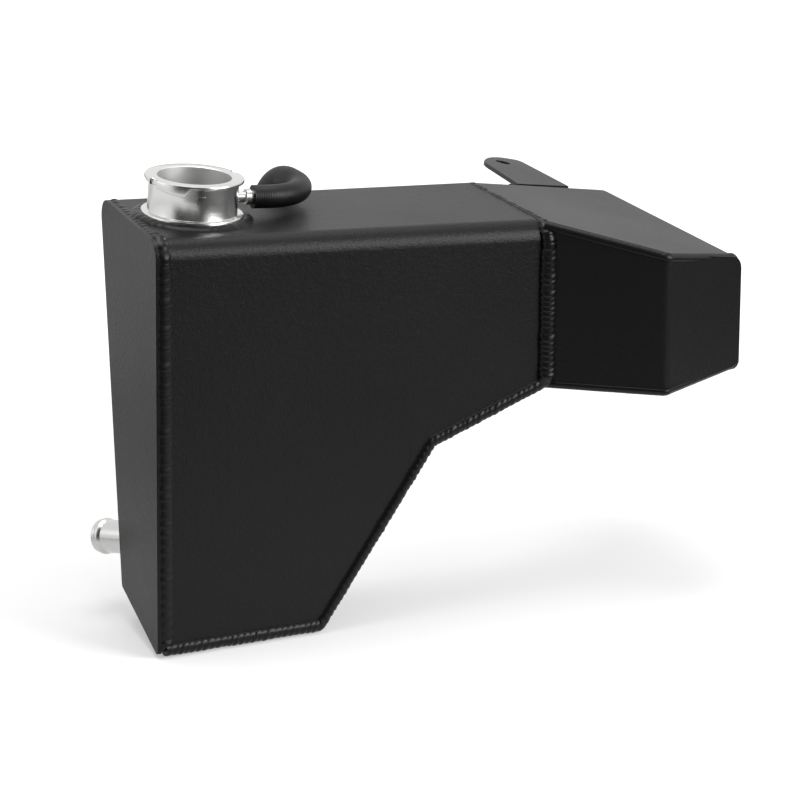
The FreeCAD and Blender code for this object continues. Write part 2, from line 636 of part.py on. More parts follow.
# Filler neck, turned from solid bar and set square on the sloping top
ON_TOP_X = "Sizes.neck_x"
ON_TOP_Z = "Sizes.main_height - Sizes.neck_x * tan(Sizes.top_slope)"
NECK_AT = (ON_TOP_X, "Sizes.neck_y", ON_TOP_Z)
upright = turn(Vector(0, 1, 0), "Sizes.top_slope")
BORE = "Sizes.neck_bore / 2"
WALL = "(Sizes.neck_bore / 2 + Sizes.neck_wall)"
SEAT = "(Sizes.neck_height - Sizes.seat_depth)"
neck_blank = new_body("neck_blank", NECK_AT, upright)
neck_section = outline(neck_blank, "XZ_Plane", "neck_section", (
    ("Sizes.seat_bore / 2", SEAT + " - Sizes.seat_height"),
    (WALL, SEAT + " - Sizes.seat_height"),
    (WALL, "0"),
    (WALL + " + Sizes.flange_width", "0"),
    (WALL + " + Sizes.flange_width", "Sizes.flange_height"),
    (WALL, "Sizes.flange_height"),
    (WALL, "Sizes.neck_height - Sizes.lip_height"),
    (WALL + " + Sizes.lip_width", "Sizes.neck_height - Sizes.lip_height"),
    (WALL + " + Sizes.lip_width", "Sizes.neck_height"),
    (BORE, "Sizes.neck_height"),
    (BORE, SEAT),
    ("Sizes.seat_bore / 2", SEAT),
))
revolve(neck_blank, neck_section, "neck_turning")
doc.recompute()

# Two ramped rims hang from the lip and hold the cap's ears, one at each side
LIP_LOW = "(Sizes.neck_height - Sizes.lip_height)"
LIP_OUT = "(Sizes.neck_bore / 2 + Sizes.neck_wall + Sizes.lip_width)"
rim_ring = new_body("rim_ring", NECK_AT, upright)
rim_section = outline(rim_ring, "XZ_Plane", "rim_section", (
    (WALL, LIP_LOW + " - Sizes.rim_end"),
    (LIP_OUT, LIP_LOW + " - Sizes.rim_end"),
    (LIP_OUT, LIP_LOW),
    (WALL, LIP_LOW),
))
revolve(rim_ring, rim_section, "rim_turning")


def on_neck(name, turned):
    """A body on the neck's axis, its XZ plane turned about the axis."""
    return new_body(name, NECK_AT, upright.multiply(turn(Vector(0, 0, 1), turned)))


rim_ramps = on_neck("rim_ramps", "Sizes.rim_turn + 90")
for side, back in (("", False), ("-", True)):
    ramp_lines = outline(rim_ramps, "XZ_Plane", "ramp_lines", (
        ("-%s1 * Sizes.rim_reach" % side, LIP_LOW + " - Sizes.rim_start"),
        ("%s1 * Sizes.rim_reach" % side, LIP_LOW + " - Sizes.rim_end"),
        ("%s1 * Sizes.rim_reach" % side, LIP_LOW),
        ("-%s1 * Sizes.rim_reach" % side, LIP_LOW),
    ))
    pad(rim_ramps, ramp_lines, "ramp_block", "Sizes.overrun", back=back)
doc.recompute()
rims = common("neck_rims", rim_ring, rim_ramps)


def neck_block(name, turned, near, far, low, high, width):
    """A block across the neck's wall, at an angle round its axis."""
    block = on_neck(name, turned)
    lines = outline(block, "XZ_Plane", name + "_lines", ((near, low), (far, low), (far, high), (near, high)))
    pad(block, lines, name + "_pad", width, both=True)
    return block


STOP_LOW = "(Sizes.neck_height - Sizes.stop_depth)"
neck_parts = [neck_blank, rims]
notches = []
for name, half in (("near", ""), ("far", " + 180")):
    neck_parts.append(neck_block("stop_" + name, "Sizes.stop_turn" + half, BORE + " + 1",
                                 WALL + " + Sizes.stop_proud", STOP_LOW, STOP_LOW + " + Sizes.stop_height",
                                 "Sizes.stop_width"))
    notches.append(neck_block("notch_" + name, "Sizes.notch_turn" + half, WALL, WALL + " + Sizes.overrun",
                              "Sizes.neck_height - Sizes.notch_depth", "Sizes.neck_height + Sizes.overrun",
                              "Sizes.notch_width"))
doc.recompute()

# Overflow nipple, a short barbed tube pressed into the side of the neck
NIPPLE_TURN = math.radians(-size("nipple_turn"))
side_way = upright.multVec(Vector(math.cos(NIPPLE_TURN), math.sin(NIPPLE_TURN), 0))
nipple_facing = FreeCAD.Rotation(Vector(0, 0, 1), side_way)
NIPPLE_AT = ("Sizes.neck_x + Sizes.nipple_height * sin(Sizes.top_slope)", "Sizes.neck_y",
             ON_TOP_Z + " + Sizes.nipple_height * cos(Sizes.top_slope)")
HOSE_IN = "(Sizes.hose_bore / 2)"
TUBE_IN = "(Sizes.hose_bore / 2 - Sizes.fitting_wall)"
NIPPLE_END = "(%s + Sizes.nipple_reach)" % WALL
nipple_body = new_body("nipple_body", NIPPLE_AT, nipple_facing)
nipple_section = outline(nipple_body, "XZ_Plane", "nipple_section", (
    (TUBE_IN, BORE),
    (HOSE_IN, BORE),
    (HOSE_IN, LIP_OUT),
    (HOSE_IN + " + Sizes.fitting_wall", LIP_OUT),
    (HOSE_IN + " + Sizes.fitting_wall", WALL + " + Sizes.hose_start - Sizes.barb_height"),
    (HOSE_IN, WALL + " + Sizes.hose_start - Sizes.barb_height"),
    (HOSE_IN, NIPPLE_END),
    (TUBE_IN, NIPPLE_END),
))
revolve(nipple_body, nipple_section, "nipple_turning")
doc.recompute()

# Hose route: out of the nipple to the right, round to the rear, and down behind the tank
neck_point = Vector(value(NIPPLE_AT[0]), value(NIPPLE_AT[1]), value(NIPPLE_AT[2]))
hose_first = neck_point + side_way * (size("neck_bore") / 2 + size("neck_wall") + size("hose_start"))
rear_way = Vector(0, 1, 0)
half_turn = side_way.getAngle(rear_way) / 2
side_corner = neck_point + side_way * (size("hose_side_run") + size("hose_side_bend") * math.tan(half_turn))
side_end = size("hose_side_bend") * math.tan(half_turn)
rear_corner_point = side_corner + rear_way * (side_end + size("hose_rear_run") + size("hose_rear_bend"))
hose_last = rear_corner_point - Vector(0, 0, size("hose_rear_bend") + size("hose_drop"))
route = [hose_first, side_corner, rear_corner_point, hose_last]
bends = [0, size("hose_side_bend"), size("hose_rear_bend"), 0]


def pipe_between(name, corners, radii, outer, inner):
    path = rounded_path(corners, radii, False)
    item = doc.addObject("Part::Feature", name)
    item.Shape = sweep(path, outer, False).cut(sweep(path, inner, False))
    return place(item)


hose = pipe_between("overflow_hose", route, bends, size("hose_bore") / 2 + size("hose_wall"),
                    size("hose_bore") / 2)

# Upturned elbow on the rear wall that takes the hose's hidden end
leg_top = hose_last + Vector(0, 0, size("elbow_leg"))
leg_foot = hose_last - Vector(0, 0, size("elbow_bend") + size("fitting_wall"))
wall_y = (REAR.distance - REAR.normal.x * leg_foot.x - REAR.normal.z * leg_foot.z) / REAR.normal.y
inside = Vector(leg_foot.x, wall_y - 2 * size("sheet_thickness"), leg_foot.z)
elbow_blank = pipe_between("elbow_blank", [leg_top, leg_foot, inside], [0, size("elbow_bend"), 0],
                           size("hose_bore") / 2, size("hose_bore") / 2 - size("fitting_wall"))

# Outlet pipe through the rear wall, low on the left
outlet_way = Vector(-math.sin(angle("outlet_turn")) * math.cos(angle("outlet_dip")),
                    math.cos(angle("outlet_turn")) * math.cos(angle("outlet_dip")),
                    -math.sin(angle("outlet_dip")))
OUTLET_Y = ("Sizes.main_depth - (Sizes.main_height - Sizes.outlet_x * tan(Sizes.top_slope) - Sizes.outlet_z)"
            " * tan(Sizes.rear_lean)")
outlet_facing = FreeCAD.Rotation(Vector(0, 0, 1), outlet_way)
outlet_body = new_body("outlet_body", ("Sizes.outlet_x", OUTLET_Y, "Sizes.outlet_z"), outlet_facing)
OUT_IN = "(Sizes.outlet_bore / 2)"
OUT_WALL = "(Sizes.outlet_bore / 2 + Sizes.outlet_wall)"
RIDGE = "(Sizes.outlet_length - Sizes.outlet_bead_width - Sizes.outlet_tip)"
outlet_section = outline(outlet_body, "XZ_Plane", "outlet_section", (
    (OUT_IN, "-Sizes.outlet_inside"),
    (OUT_WALL, "-Sizes.outlet_inside"),
    (OUT_WALL, RIDGE),
    (OUT_WALL + " + Sizes.outlet_bead_height", RIDGE + " + Sizes.outlet_bead_width / 3"),
    (OUT_WALL + " + Sizes.outlet_bead_height", RIDGE + " + Sizes.outlet_bead_width * 2 / 3"),
    (OUT_WALL, RIDGE + " + Sizes.outlet_bead_width"),
    (OUT_WALL, "Sizes.outlet_length"),
    (OUT_IN, "Sizes.outlet_length"),
))
revolve(outlet_body, outlet_section, "outlet_turning")
doc.recompute()

# Mounting tab, a flat strip that carries on from the chamber's top to the rear
tab_facing = turn(Vector(0, 1, 0), "Sizes.chamber_slope")
tab_body = new_body("tab_body", (SEAM + " - Sizes.tab_step * sin(Sizes.chamber_slope)", "0",
                                 TOP_AT_SEAM + " - Sizes.tab_step * cos(Sizes.chamber_slope)"), tab_facing)
TAB_ROOT = "(Sizes.main_depth - Sizes.sheet_thickness)"
tab_lines = outline(tab_body, "XY_Plane", "tab_lines", (
    ("Sizes.tab_left / cos(Sizes.chamber_slope)", TAB_ROOT),
    ("Sizes.tab_right / cos(Sizes.chamber_slope)", TAB_ROOT),
    ("Sizes.tab_right / cos(Sizes.chamber_slope)", "Sizes.tab_reach"),
    ("(Sizes.tab_left + Sizes.tab_taper) / cos(Sizes.chamber_slope)", "Sizes.tab_reach"),
))
pad(tab_body, tab_lines, "tab_strip", "Sizes.tab_thickness", back=True)
doc.recompute()
tilt = math.cos(angle("chamber_slope"))
half_tab = Vector(0, 0, -size("tab_thickness") / 2)
tip_left = Vector((size("tab_left") + size("tab_taper")) / tilt, size("tab_reach"), 0) + half_tab
tip_right = Vector(size("tab_right") / tilt, size("tab_reach"), 0) + half_tab
fold(tab_body, "tab_left_round", ((tip_left, tip_left),), "Sizes.tab_left_corner")
fold(tab_body, "tab_right_round", ((tip_right, tip_right),), "Sizes.tab_right_corner")
tab_hole = circle(tab_body, "XY_Plane", "tab_hole_line", "Sizes.tab_hole / 2",
                  "Sizes.tab_hole_x / cos(Sizes.chamber_slope)", "Sizes.tab_hole_y")
pocket(tab_body, tab_hole, "tab_hole_cut", "Sizes.overrun")

# Ring beads round the neck, the outlet pipe and the elbow, and the bead under the tab
neck_ring = new_body("neck_ring", NECK_AT, upright)
FLANGE = WALL[:-1] + " + Sizes.flange_width)"
ring_section = outline(neck_ring, "XZ_Plane", "neck_ring_section", (
    (FLANGE, "0"),
    (FLANGE + " + Sizes.ring_width", "0"),
    (FLANGE + " + Sizes.ring_width * 0.85", "Sizes.ring_height * 0.5"),
    (FLANGE + " + Sizes.ring_width * 0.5", "Sizes.ring_height * 0.9"),
    (FLANGE, "Sizes.ring_height"),
))
revolve(neck_ring, ring_section, "neck_ring_turning")
rear_facing = FreeCAD.Rotation(Vector(0, 0, 1), REAR.normal)


def ring_on_rear(name, offset, way, radius, reach):
    """A bead on the rear wall round a pipe that leaves it in the given direction."""
    facing = FreeCAD.Rotation(Vector(0, 0, 1), way)
    blank = place(doc.addObject("Part::Cylinder", name + "_blank"), offset, facing)
    blank.setExpression("Radius", radius + " + Sizes.ring_width * 0.8")
    blank.setExpression("Height", reach)
    skin = place(doc.addObject("Part::Cylinder", name + "_skin"), offset, rear_facing)
    skin.setExpression("Radius", "Sizes.overrun")
    skin.setExpression("Height", "Sizes.ring_height * 0.8")
    return common(name + "_band", blank, skin)


def plug(name, offset, facing, radius, low, high):
    """A cylinder that clears the way for a round piece."""
    axis = facing.multVec(Vector(0, 0, 1))
    moved = ["%s + (%s) * (%.9f)" % (part, low, way) for part, way in zip(offset, axis)]
    item = place(doc.addObject("Part::Cylinder", name), moved, facing)
    item.setExpression("Radius", radius)
    item.setExpression("Height", "(%s) - (%s)" % (high, low))
    return item


NEAR = "-Sizes.neck_hole_depth"
FAR = "Sizes.neck_hole_depth"
OUTLET_AT = ("Sizes.outlet_x", OUTLET_Y, "Sizes.outlet_z")
neck_plug = plug("neck_plug", NECK_AT, upright, WALL, NEAR, "Sizes.flange_height")
outlet_plug = plug("outlet_plug", OUTLET_AT, outlet_facing, OUT_WALL, NEAR, FAR)
outlet_ring = ring_on_rear("weld_outlet", OUTLET_AT, outlet_way, OUT_WALL, FAR)
elbow_wall = Vector(leg_foot.x, wall_y, leg_foot.z)
elbow_offset = tuple("%.9f" % part for part in elbow_wall)
rear_turn = FreeCAD.Rotation(Vector(0, 0, 1), Vector(0, 1, 0))
elbow_plug = plug("elbow_plug", elbow_offset, rear_turn, HOSE_IN, NEAR, FAR)
elbow_ring = ring_on_rear("weld_elbow", elbow_offset, Vector(0, 1, 0), HOSE_IN, FAR)
nipple_plug = plug("nipple_plug", NIPPLE_AT, nipple_facing, HOSE_IN, BORE + " - 5", BORE + " + 30")
tab_root_line = (size("tab_step") + size("tab_thickness") + 1.0, 1.5)


def cross_face(x):
    return Face(Vector(x, 0, 0), Vector(1, 0, 0))


tab_ends = [meet(CHAMBER_TOP, CHAMBER_REAR, cross_face(seam_x + across), tab_root_line + (0,))
            for across in (size("tab_left") + 4, size("tab_right") - 4)]
tab_tube = tube("weld_tab_tube", tab_ends, [0, 0], size("ring_height"))

# Plate corners are ground back where three beads meet


def trim(name, offset):
    item = place(doc.addObject("Part::Box", name), offset)
    for side in ("Length", "Width", "Height"):
        item.setExpression(side, "Sizes.blank_side")
    return item


LOW = "-Sizes.room"
wrapper_trim = trim("wrapper_trim", ("1.5 * Sizes.bead_radius - Sizes.blank_side", LOW, LOW))
left_trim = trim("left_trim", (LOW, LOW, "1.5 * Sizes.bead_radius - Sizes.blank_side"))
bottom_trim = trim("bottom_trim", (LOW, "Sizes.bead_radius - Sizes.blank_side", LOW))
nose_trim = trim("nose_trim", (LOW, LOW, TOP_AT_SEAM + " - Sizes.bead_radius"))
side_trim = trim("side_trim", (LOW, LOW, "Sizes.seam_z + 0.75 * Sizes.bead_radius - Sizes.blank_side"))
shell_trim = trim("shell_trim", (SEAM + " + 0.85 * Sizes.bead_radius - Sizes.blank_side",
                                 "1.6 * Sizes.bead_radius - Sizes.blank_side", TOP_AT_SEAM + " - Sizes.overrun"))
floor_trim = trim("floor_trim", (CHAMBER_END + " - Sizes.edge_bead_inset", LOW, LOW))

# The pieces as they are welded together
beads = doc.addObject("Part::MultiFuse", "all_beads")
beads.Shapes = all_beads
pieces = []


def piece(name, base, tools):
    item = cut(name, base, tools)
    item.Label = name
    pieces.append(item)
    return item


main_sheet = cut("main_sheet", main_form, [main_hollow, left_blank, bottom_blank, slope_blank,
                                           neck_plug, outlet_plug, elbow_plug])
piece("main_wrapper", main_sheet, [beads, wrapper_trim])
piece("left_end_plate", common("left_end_raw", main_form, left_blank), [beads, left_trim])
piece("bottom_plate", common("bottom_raw", main_form, bottom_blank), [left_blank, beads, bottom_trim])
piece("slope_plate", common("slope_raw", main_form, slope_blank), [left_blank, bottom_blank, beads])
piece("chamber_shell", chamber_form, [chamber_hollow, front_blank, floor_blank, beads, shell_trim])
piece("chamber_front_plate", common("front_raw", chamber_form, front_blank), [beads, nose_trim, side_trim])
piece("chamber_floor_plate", common("floor_raw", chamber_form, floor_blank), [front_blank, beads, floor_trim])
left_bead.Label = "weld_left_end"
seam_bead.Label = "weld_seam"
pieces.extend([left_bead, seam_bead])
piece("weld_lower_front", front_bead, [left_bead, seam_bead])
piece("weld_lower_rear", rear_bead, [left_bead, seam_bead])
piece("weld_bottom_joint", bottom_bead, [front_bead, rear_bead])
piece("weld_chamber_front", nose_bead, [seam_bead, front_bead])
piece("weld_chamber_floor", floor_bead, [nose_bead, seam_bead, rear_bead])
piece("weld_chamber_corner", corner_bead, [floor_bead, nose_bead])
neck_turned = doc.addObject("Part::MultiFuse", "neck_turned")
neck_turned.Shapes = neck_parts
piece("filler_neck", neck_turned, [nipple_plug] + notches)
nipple_body.Label = "overflow_nipple"
outlet_body.Label = "outlet_pipe"
elbow_blank.Label = "hose_elbow"
piece("weld_neck", neck_ring, [left_bead])
pieces.extend([nipple_body, hose, elbow_blank, outlet_body])
piece("weld_outlet", outlet_ring, [outlet_plug, left_bead])
piece("weld_elbow", elbow_ring, [elbow_plug])
piece("mounting_tab", tab_body, [chamber_form])
piece("weld_tab", tab_tube, [tab_body, chamber_form])
doc.recompute()

for item in doc.Objects:
    if "Invalid" in item.State or "Error" in item.State:
        raise RuntimeError("failed: %s %s" % (item.Name, item.getStatusString()))
os.makedirs("parts", exist_ok=True)
for item in pieces:
    shape = item.Shape
    if shape.isNull() or not shape.isValid():
        raise RuntimeError("bad shape: " + item.Label)
    shape.exportStep("parts/%s.step" % item.Label)
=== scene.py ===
# Coolant expansion tank, welded from powder-coated aluminium sheet, with a bare turned neck.
import math

import bmesh
import bpy
from mathutils import Euler, Matrix, Vector


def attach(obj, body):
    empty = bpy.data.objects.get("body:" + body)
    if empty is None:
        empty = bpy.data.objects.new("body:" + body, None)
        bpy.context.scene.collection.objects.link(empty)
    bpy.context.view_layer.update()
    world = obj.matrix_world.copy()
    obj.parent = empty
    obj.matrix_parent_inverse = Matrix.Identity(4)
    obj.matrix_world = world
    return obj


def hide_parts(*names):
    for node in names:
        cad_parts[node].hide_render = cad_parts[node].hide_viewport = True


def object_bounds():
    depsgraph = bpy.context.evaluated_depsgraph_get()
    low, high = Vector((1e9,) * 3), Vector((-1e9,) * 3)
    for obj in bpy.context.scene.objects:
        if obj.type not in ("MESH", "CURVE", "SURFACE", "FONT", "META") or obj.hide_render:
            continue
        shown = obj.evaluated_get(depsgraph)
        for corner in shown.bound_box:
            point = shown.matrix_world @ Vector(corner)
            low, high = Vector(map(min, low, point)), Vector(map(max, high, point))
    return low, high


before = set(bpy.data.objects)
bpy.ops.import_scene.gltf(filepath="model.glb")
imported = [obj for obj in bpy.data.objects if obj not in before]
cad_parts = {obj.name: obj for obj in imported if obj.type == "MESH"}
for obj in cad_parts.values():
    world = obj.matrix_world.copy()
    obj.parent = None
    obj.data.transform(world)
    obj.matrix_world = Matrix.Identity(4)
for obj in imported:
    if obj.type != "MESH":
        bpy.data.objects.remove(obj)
cad_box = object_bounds()
MM = 0.001

# Sheet plates. The tank's walls are 2.5 mm aluminium sheet, folded and welded, then powder
# coated in a fine-textured satin black. Plates meet under the weld beads.


def new_group(name, inputs, outputs):
    """A shader node group with named sockets."""
    group = bpy.data.node_groups.new(name, "ShaderNodeTree")
    for label, default in inputs:
        socket = group.interface.new_socket(label, in_out="INPUT", socket_type="NodeSocketFloat")
        socket.default_value = default
    for label in outputs:
        group.interface.new_socket(label, in_out="OUTPUT", socket_type="NodeSocketFloat")
    return group, group.nodes.new("NodeGroupInput"), group.nodes.new("NodeGroupOutput")


def maths(tree, kind, first, second=None, third=None):
    node = tree.nodes.new("ShaderNodeMath")
    node.operation = kind
    for number, item in enumerate((first, second, third)):
        if item is None:
            continue
        if isinstance(item, (int, float)):
            node.inputs[number].default_value = item
        else:
            tree.links.new(item, node.inputs[number])
    return node.outputs[0]


def noise(tree, vector, scale, detail=2.0, roughness=0.5):
    node = tree.nodes.new("ShaderNodeTexNoise")
    tree.links.new(vector, node.inputs["Vector"])
    if isinstance(scale, (int, float)):
        node.inputs["Scale"].default_value = scale
    else:
        tree.links.new(scale, node.inputs["Scale"])
    node.inputs["Detail"].default_value = detail
    node.inputs["Roughness"].default_value = roughness
    return node.outputs["Fac"]


# The coat's fine grain stands up as bumps, and its gloss drifts a little from place to place
coat_group, coat_in, coat_out = new_group(
    "powder_grain", (("Grain", 1250.0), ("Drift", 9.0)), ("Height", "Gloss"))
coat_place = coat_group.nodes.new("ShaderNodeTexCoord").outputs["Object"]
coat_fine = noise(coat_group, coat_place, coat_in.outputs["Grain"], 1.5, 0.55)
coat_coarse = maths(coat_group, "MULTIPLY", coat_in.outputs["Grain"], 0.31)
coat_broad = noise(coat_group, coat_place, coat_coarse, 1.0)
coat_height = maths(coat_group, "ADD", coat_fine, maths(coat_group, "MULTIPLY", coat_broad, 0.8))
coat_group.links.new(coat_height, coat_out.inputs["Height"])
coat_gloss = noise(coat_group, coat_place, coat_in.outputs["Drift"], 3.0)
coat_group.links.new(coat_gloss, coat_out.inputs["Gloss"])


def powder_coat(name, colour, gloss_low, gloss_high, bump, specular):
    """Textured powder coat, its grain from the shared group."""
    material = bpy.data.materials.new(name)
    material.use_nodes = True
    tree = material.node_tree
    shader = tree.nodes["Principled BSDF"]
    shader.inputs["Base Color"].default_value = (*colour, 1)
    shader.inputs["Specular IOR Level"].default_value = specular
    grain = tree.nodes.new("ShaderNodeGroup")
    grain.node_tree = coat_group
    spread = tree.nodes.new("ShaderNodeMapRange")
    spread.inputs["From Min"].default_value = 0.3
    spread.inputs["From Max"].default_value = 0.7
    spread.inputs["To Min"].default_value = gloss_low
    spread.inputs["To Max"].default_value = gloss_high
    tree.links.new(grain.outputs["Gloss"], spread.inputs["Value"])
    tree.links.new(spread.outputs["Result"], shader.inputs["Roughness"])
    relief = tree.nodes.new("ShaderNodeBump")
    relief.inputs["Distance"].default_value = 0.00015
    relief.inputs["Strength"].default_value = bump
    tree.links.new(grain.outputs["Height"], relief.inputs["Height"])
    tree.links.new(relief.outputs["Normal"], shader.inputs["Normal"])
    return material


COAT = powder_coat("black_powder_coat", (0.0034, 0.0038, 0.0036), 0.37, 0.43, 1.3, 0.20)


def settled(obj, name):
    """A plain mesh object of what an object's modifiers make."""
    mesh = bpy.data.meshes.new_from_object(obj.evaluated_get(bpy.context.evaluated_depsgraph_get()))
    mesh.name = name
    bpy.data.objects.remove(obj)
    plain = bpy.data.objects.new(name, mesh)
    bpy.context.scene.collection.objects.link(plain)
    return plain


def finish_piece(obj, slot, material, *nodes):
    if material is not None:
        obj.data.materials.clear()
        obj.data.materials.append(material)
    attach(obj, "root")
    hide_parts(*nodes)


def sheet_plate(name, node):
    """A smooth-shaded copy of a CAD plate."""
    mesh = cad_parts[node].data.copy()
    mesh.name = name
    mesh.materials.clear()
    work = bmesh.new()
    work.from_mesh(mesh)
    bmesh.ops.remove_doubles(work, verts=work.verts, dist=2e-6)
    for face in work.faces:
        face.smooth = True
    for line in work.edges:
        line.smooth = len(line.link_faces) == 2 and line.calc_face_angle(0) < math.radians(24)
    work.to_mesh(mesh)
    work.free()
    plate = bpy.data.objects.new(name + "_work", mesh)
    bpy.context.scene.collection.objects.link(plate)
    level = plate.modifiers.new("flat_faces_stay_flat", "WEIGHTED_NORMAL")
    level.mode = "FACE_AREA"
    level.keep_sharp = True
    finish_piece(settled(plate, name), "coated_sheet", COAT, node)


for sheet_name, sheet_node in (
    ("folded_main_sheet", "main_wrapper"),
    ("bottom_sheet", "bottom_plate"),
    ("sloping_sheet", "slope_plate"),
    ("folded_chamber_sheet", "chamber_shell"),
    ("chamber_front_sheet", "chamber_front_plate"),
    ("chamber_floor_sheet", "chamber_floor_plate"),
):
    sheet_plate(sheet_name, sheet_node)

# Left end plate, a flat sheet cut to the tank's section with two rounded upper corners. Its cut
# edge is dressed smooth, and it stands in front of the bead that joins it to the folded sheet.


def rounded_outline(corners, steps=10):
    """A closed outline, each corner a place and a radius, with its corners turned into arcs."""
    points = []
    for number, (place, radius) in enumerate(corners):
        place = Vector(place)
        before = (Vector(corners[number - 1][0]) - place).normalized()
        after = (Vector(corners[(number + 1) % len(corners)][0]) - place).normalized()
        if radius <= 0:
            points.append(place)
            continue
        half = before.angle(after) / 2
        centre = place + (before + after).normalized() * (radius / math.sin(half))
        start = place + before * (radius / math.tan(half)) - centre
        end = place + after * (radius / math.tan(half)) - centre
        for step in range(steps + 1):
            part = step / steps
            sweep = start.angle(end)
            points.append(centre + start * (math.sin((1 - part) * sweep) / math.sin(sweep))
                          + end * (math.sin(part * sweep) / math.sin(sweep)))
    return points


def cut_sheet(name, node, outline, inward, thickness, bevel, hole=None):
    """A flat sheet from its outline on the outer face, with dressed edges."""
    mesh = bpy.data.meshes.new(name)
    work = bmesh.new()
    inward = Vector(inward).normalized() * thickness
    outer = [work.verts.new(place * MM) for place in outline]
    inner = [work.verts.new((place + inward) * MM) for place in outline]
    rings = [(outer, inner)]
    if hole:
        rings.append(([work.verts.new(place * MM) for place in hole],
                      [work.verts.new((place + inward) * MM) for place in hole]))
    upper_rim, lower_rim = [], []
    for upper, lower in rings:
        for number in range(len(upper)):
            after = (number + 1) % len(upper)
            work.faces.new((upper[number], upper[after], lower[after], lower[number]))
            upper_rim.append(work.edges.get((upper[number], upper[after])))
            lower_rim.append(work.edges.get((lower[number], lower[after])))
    for rim in (upper_rim, lower_rim):
        bmesh.ops.triangle_fill(work, use_beauty=True, use_dissolve=False, edges=rim)
    bmesh.ops.recalc_face_normals(work, faces=work.faces)
    for face in work.faces:
        face.smooth = True
    work.to_mesh(mesh)
    work.free()
    plate = bpy.data.objects.new(name + "_work", mesh)
    bpy.context.scene.collection.objects.link(plate)
    dressed = plate.modifiers.new("dressed_edge", "BEVEL")
    dressed.width = bevel * MM
    dressed.segments = 3
    dressed.limit_method = "ANGLE"
    dressed.angle_limit = math.radians(40)
    dressed.harden_normals = True
    finish_piece(settled(plate, name), "coated_sheet", COAT, node)


SHEET_THICK = 2.5
cut_sheet("left_end_sheet", "left_end_plate", rounded_outline((
    ((-311.99, -185.00, 37.18), 11.0), ((-298.24, -79.00, 36.18), 11.0),
    ((-303.08, -116.27, -184.75), 2.5), ((-311.99, -185.00, -203.42), 2.5),
)), (0.99169, -0.12862, 0.0), SHEET_THICK, 0.7)

# Mounting tab, a strip of the same sheet with a rounded end and one punched hole. It carries the
# chamber's falling top on past the rear edge. Its outline is measured from seam and front.
SEAM_LEFT_OF_DATUM = 69.59
FRONT_BEFORE_DATUM = 185.0
TAB_TOP_AT_SEAM = 19.132
TAB_FALL = 0.256385
TAB_DOWN = (-0.24835, 0.0, -0.96867)
TAB_HOLE_X = 69.95
TAB_HOLE_RADIUS = 4.5
TAB_HOLE_STEPS = 32
tab_outline = []
for tab_x, tab_y in (
    (44.5, 118.0), (52.0, 172.0), (54.0, 178.6), (57.2, 184.6), (61.4, 190.2), (65.8, 195.0),
    (70.4, 198.5), (74.5, 200.7), (78.1, 201.7), (81.2, 201.9), (85.2, 201.8), (87.6, 201.0),
    (89.2, 199.3), (89.8, 197.0), (89.7, 187.0), (89.3, 167.0), (88.6, 138.5), (88.5, 136.0),
):
    tab_outline.append(Vector((tab_x - SEAM_LEFT_OF_DATUM, tab_y - FRONT_BEFORE_DATUM,
                               TAB_TOP_AT_SEAM - TAB_FALL * tab_x)))
tab_hole = []
for step in range(TAB_HOLE_STEPS):
    hole_turn = math.tau * step / TAB_HOLE_STEPS
    hole_x = TAB_HOLE_X - TAB_HOLE_RADIUS * TAB_DOWN[2] * math.cos(hole_turn)
    tab_hole.append(Vector((hole_x - SEAM_LEFT_OF_DATUM, TAB_HOLE_RADIUS * math.sin(hole_turn),
                            TAB_TOP_AT_SEAM - TAB_FALL * hole_x)))
cut_sheet("rear_tab", "mounting_tab", tab_outline, TAB_DOWN, SHEET_THICK, 0.35, tab_hole)

# Weld beads. Each joint is filled by hand with a row of overlapping puddles, so the bead is a
# low rounded ridge of small crescents, coated black with the sheet.
bead_tree = bpy.data.node_groups.new("rippled_bead", "GeometryNodeTree")
for label, kind, default in (
    ("Line", "NodeSocketGeometry", None),
    ("Width", "NodeSocketFloat", 4.0 * MM),
    ("Height", "NodeSocketFloat", 4.0 * MM),
    ("Pitch", "NodeSocketFloat", 3.4 * MM),
    ("Ripple", "NodeSocketFloat", 0.55 * MM),
    ("Crescent", "NodeSocketFloat", 2.6 * MM),
    ("Unevenness", "NodeSocketFloat", 0.35 * MM),
    ("Seed", "NodeSocketInt", 1),
    ("Finish", "NodeSocketMaterial", None),
):
    bead_socket = bead_tree.interface.new_socket(label, in_out="INPUT", socket_type=kind)
    if default is not None:
        bead_socket.default_value = default
bead_tree.interface.new_socket("Bead", in_out="OUTPUT", socket_type="NodeSocketGeometry")
bead_in = bead_tree.nodes.new("NodeGroupInput")
bead_out = bead_tree.nodes.new("NodeGroupOutput")


def add_node(tree, kind, links=(), **settings):
    """A node with its settings and its inputs linked or set."""
    node = tree.nodes.new(kind)
    for label, item in settings.items():
        setattr(node, label, item)
    for socket, item in links:
        target = node.inputs[socket]
        if isinstance(item, bpy.types.NodeSocket):
            tree.links.new(item, target)
        else:
            target.default_value = item
    return node


def vector_maths(tree, kind, first, second=None, scale=None):
    links = [(0, first)]
    if second is not None:
        links.append((1, second))
    if scale is not None:
        links.append((3, scale))
    node = add_node(tree, "ShaderNodeVectorMath", links, operation=kind)
    return node.outputs["Value" if kind in ("DOT_PRODUCT", "LENGTH") else "Vector"]


def named(tree, name, kind="FLOAT"):
    node = add_node(tree, "GeometryNodeInputNamedAttribute", (("Name", name),), data_type=kind)
    return node.outputs["Attribute"]


def keep(tree, geometry, name, value, kind="FLOAT"):
    node = add_node(tree, "GeometryNodeStoreNamedAttribute",
                    (("Geometry", geometry), ("Name", name), ("Value", value)),
                    data_type=kind, domain="POINT")
    return node.outputs["Geometry"]


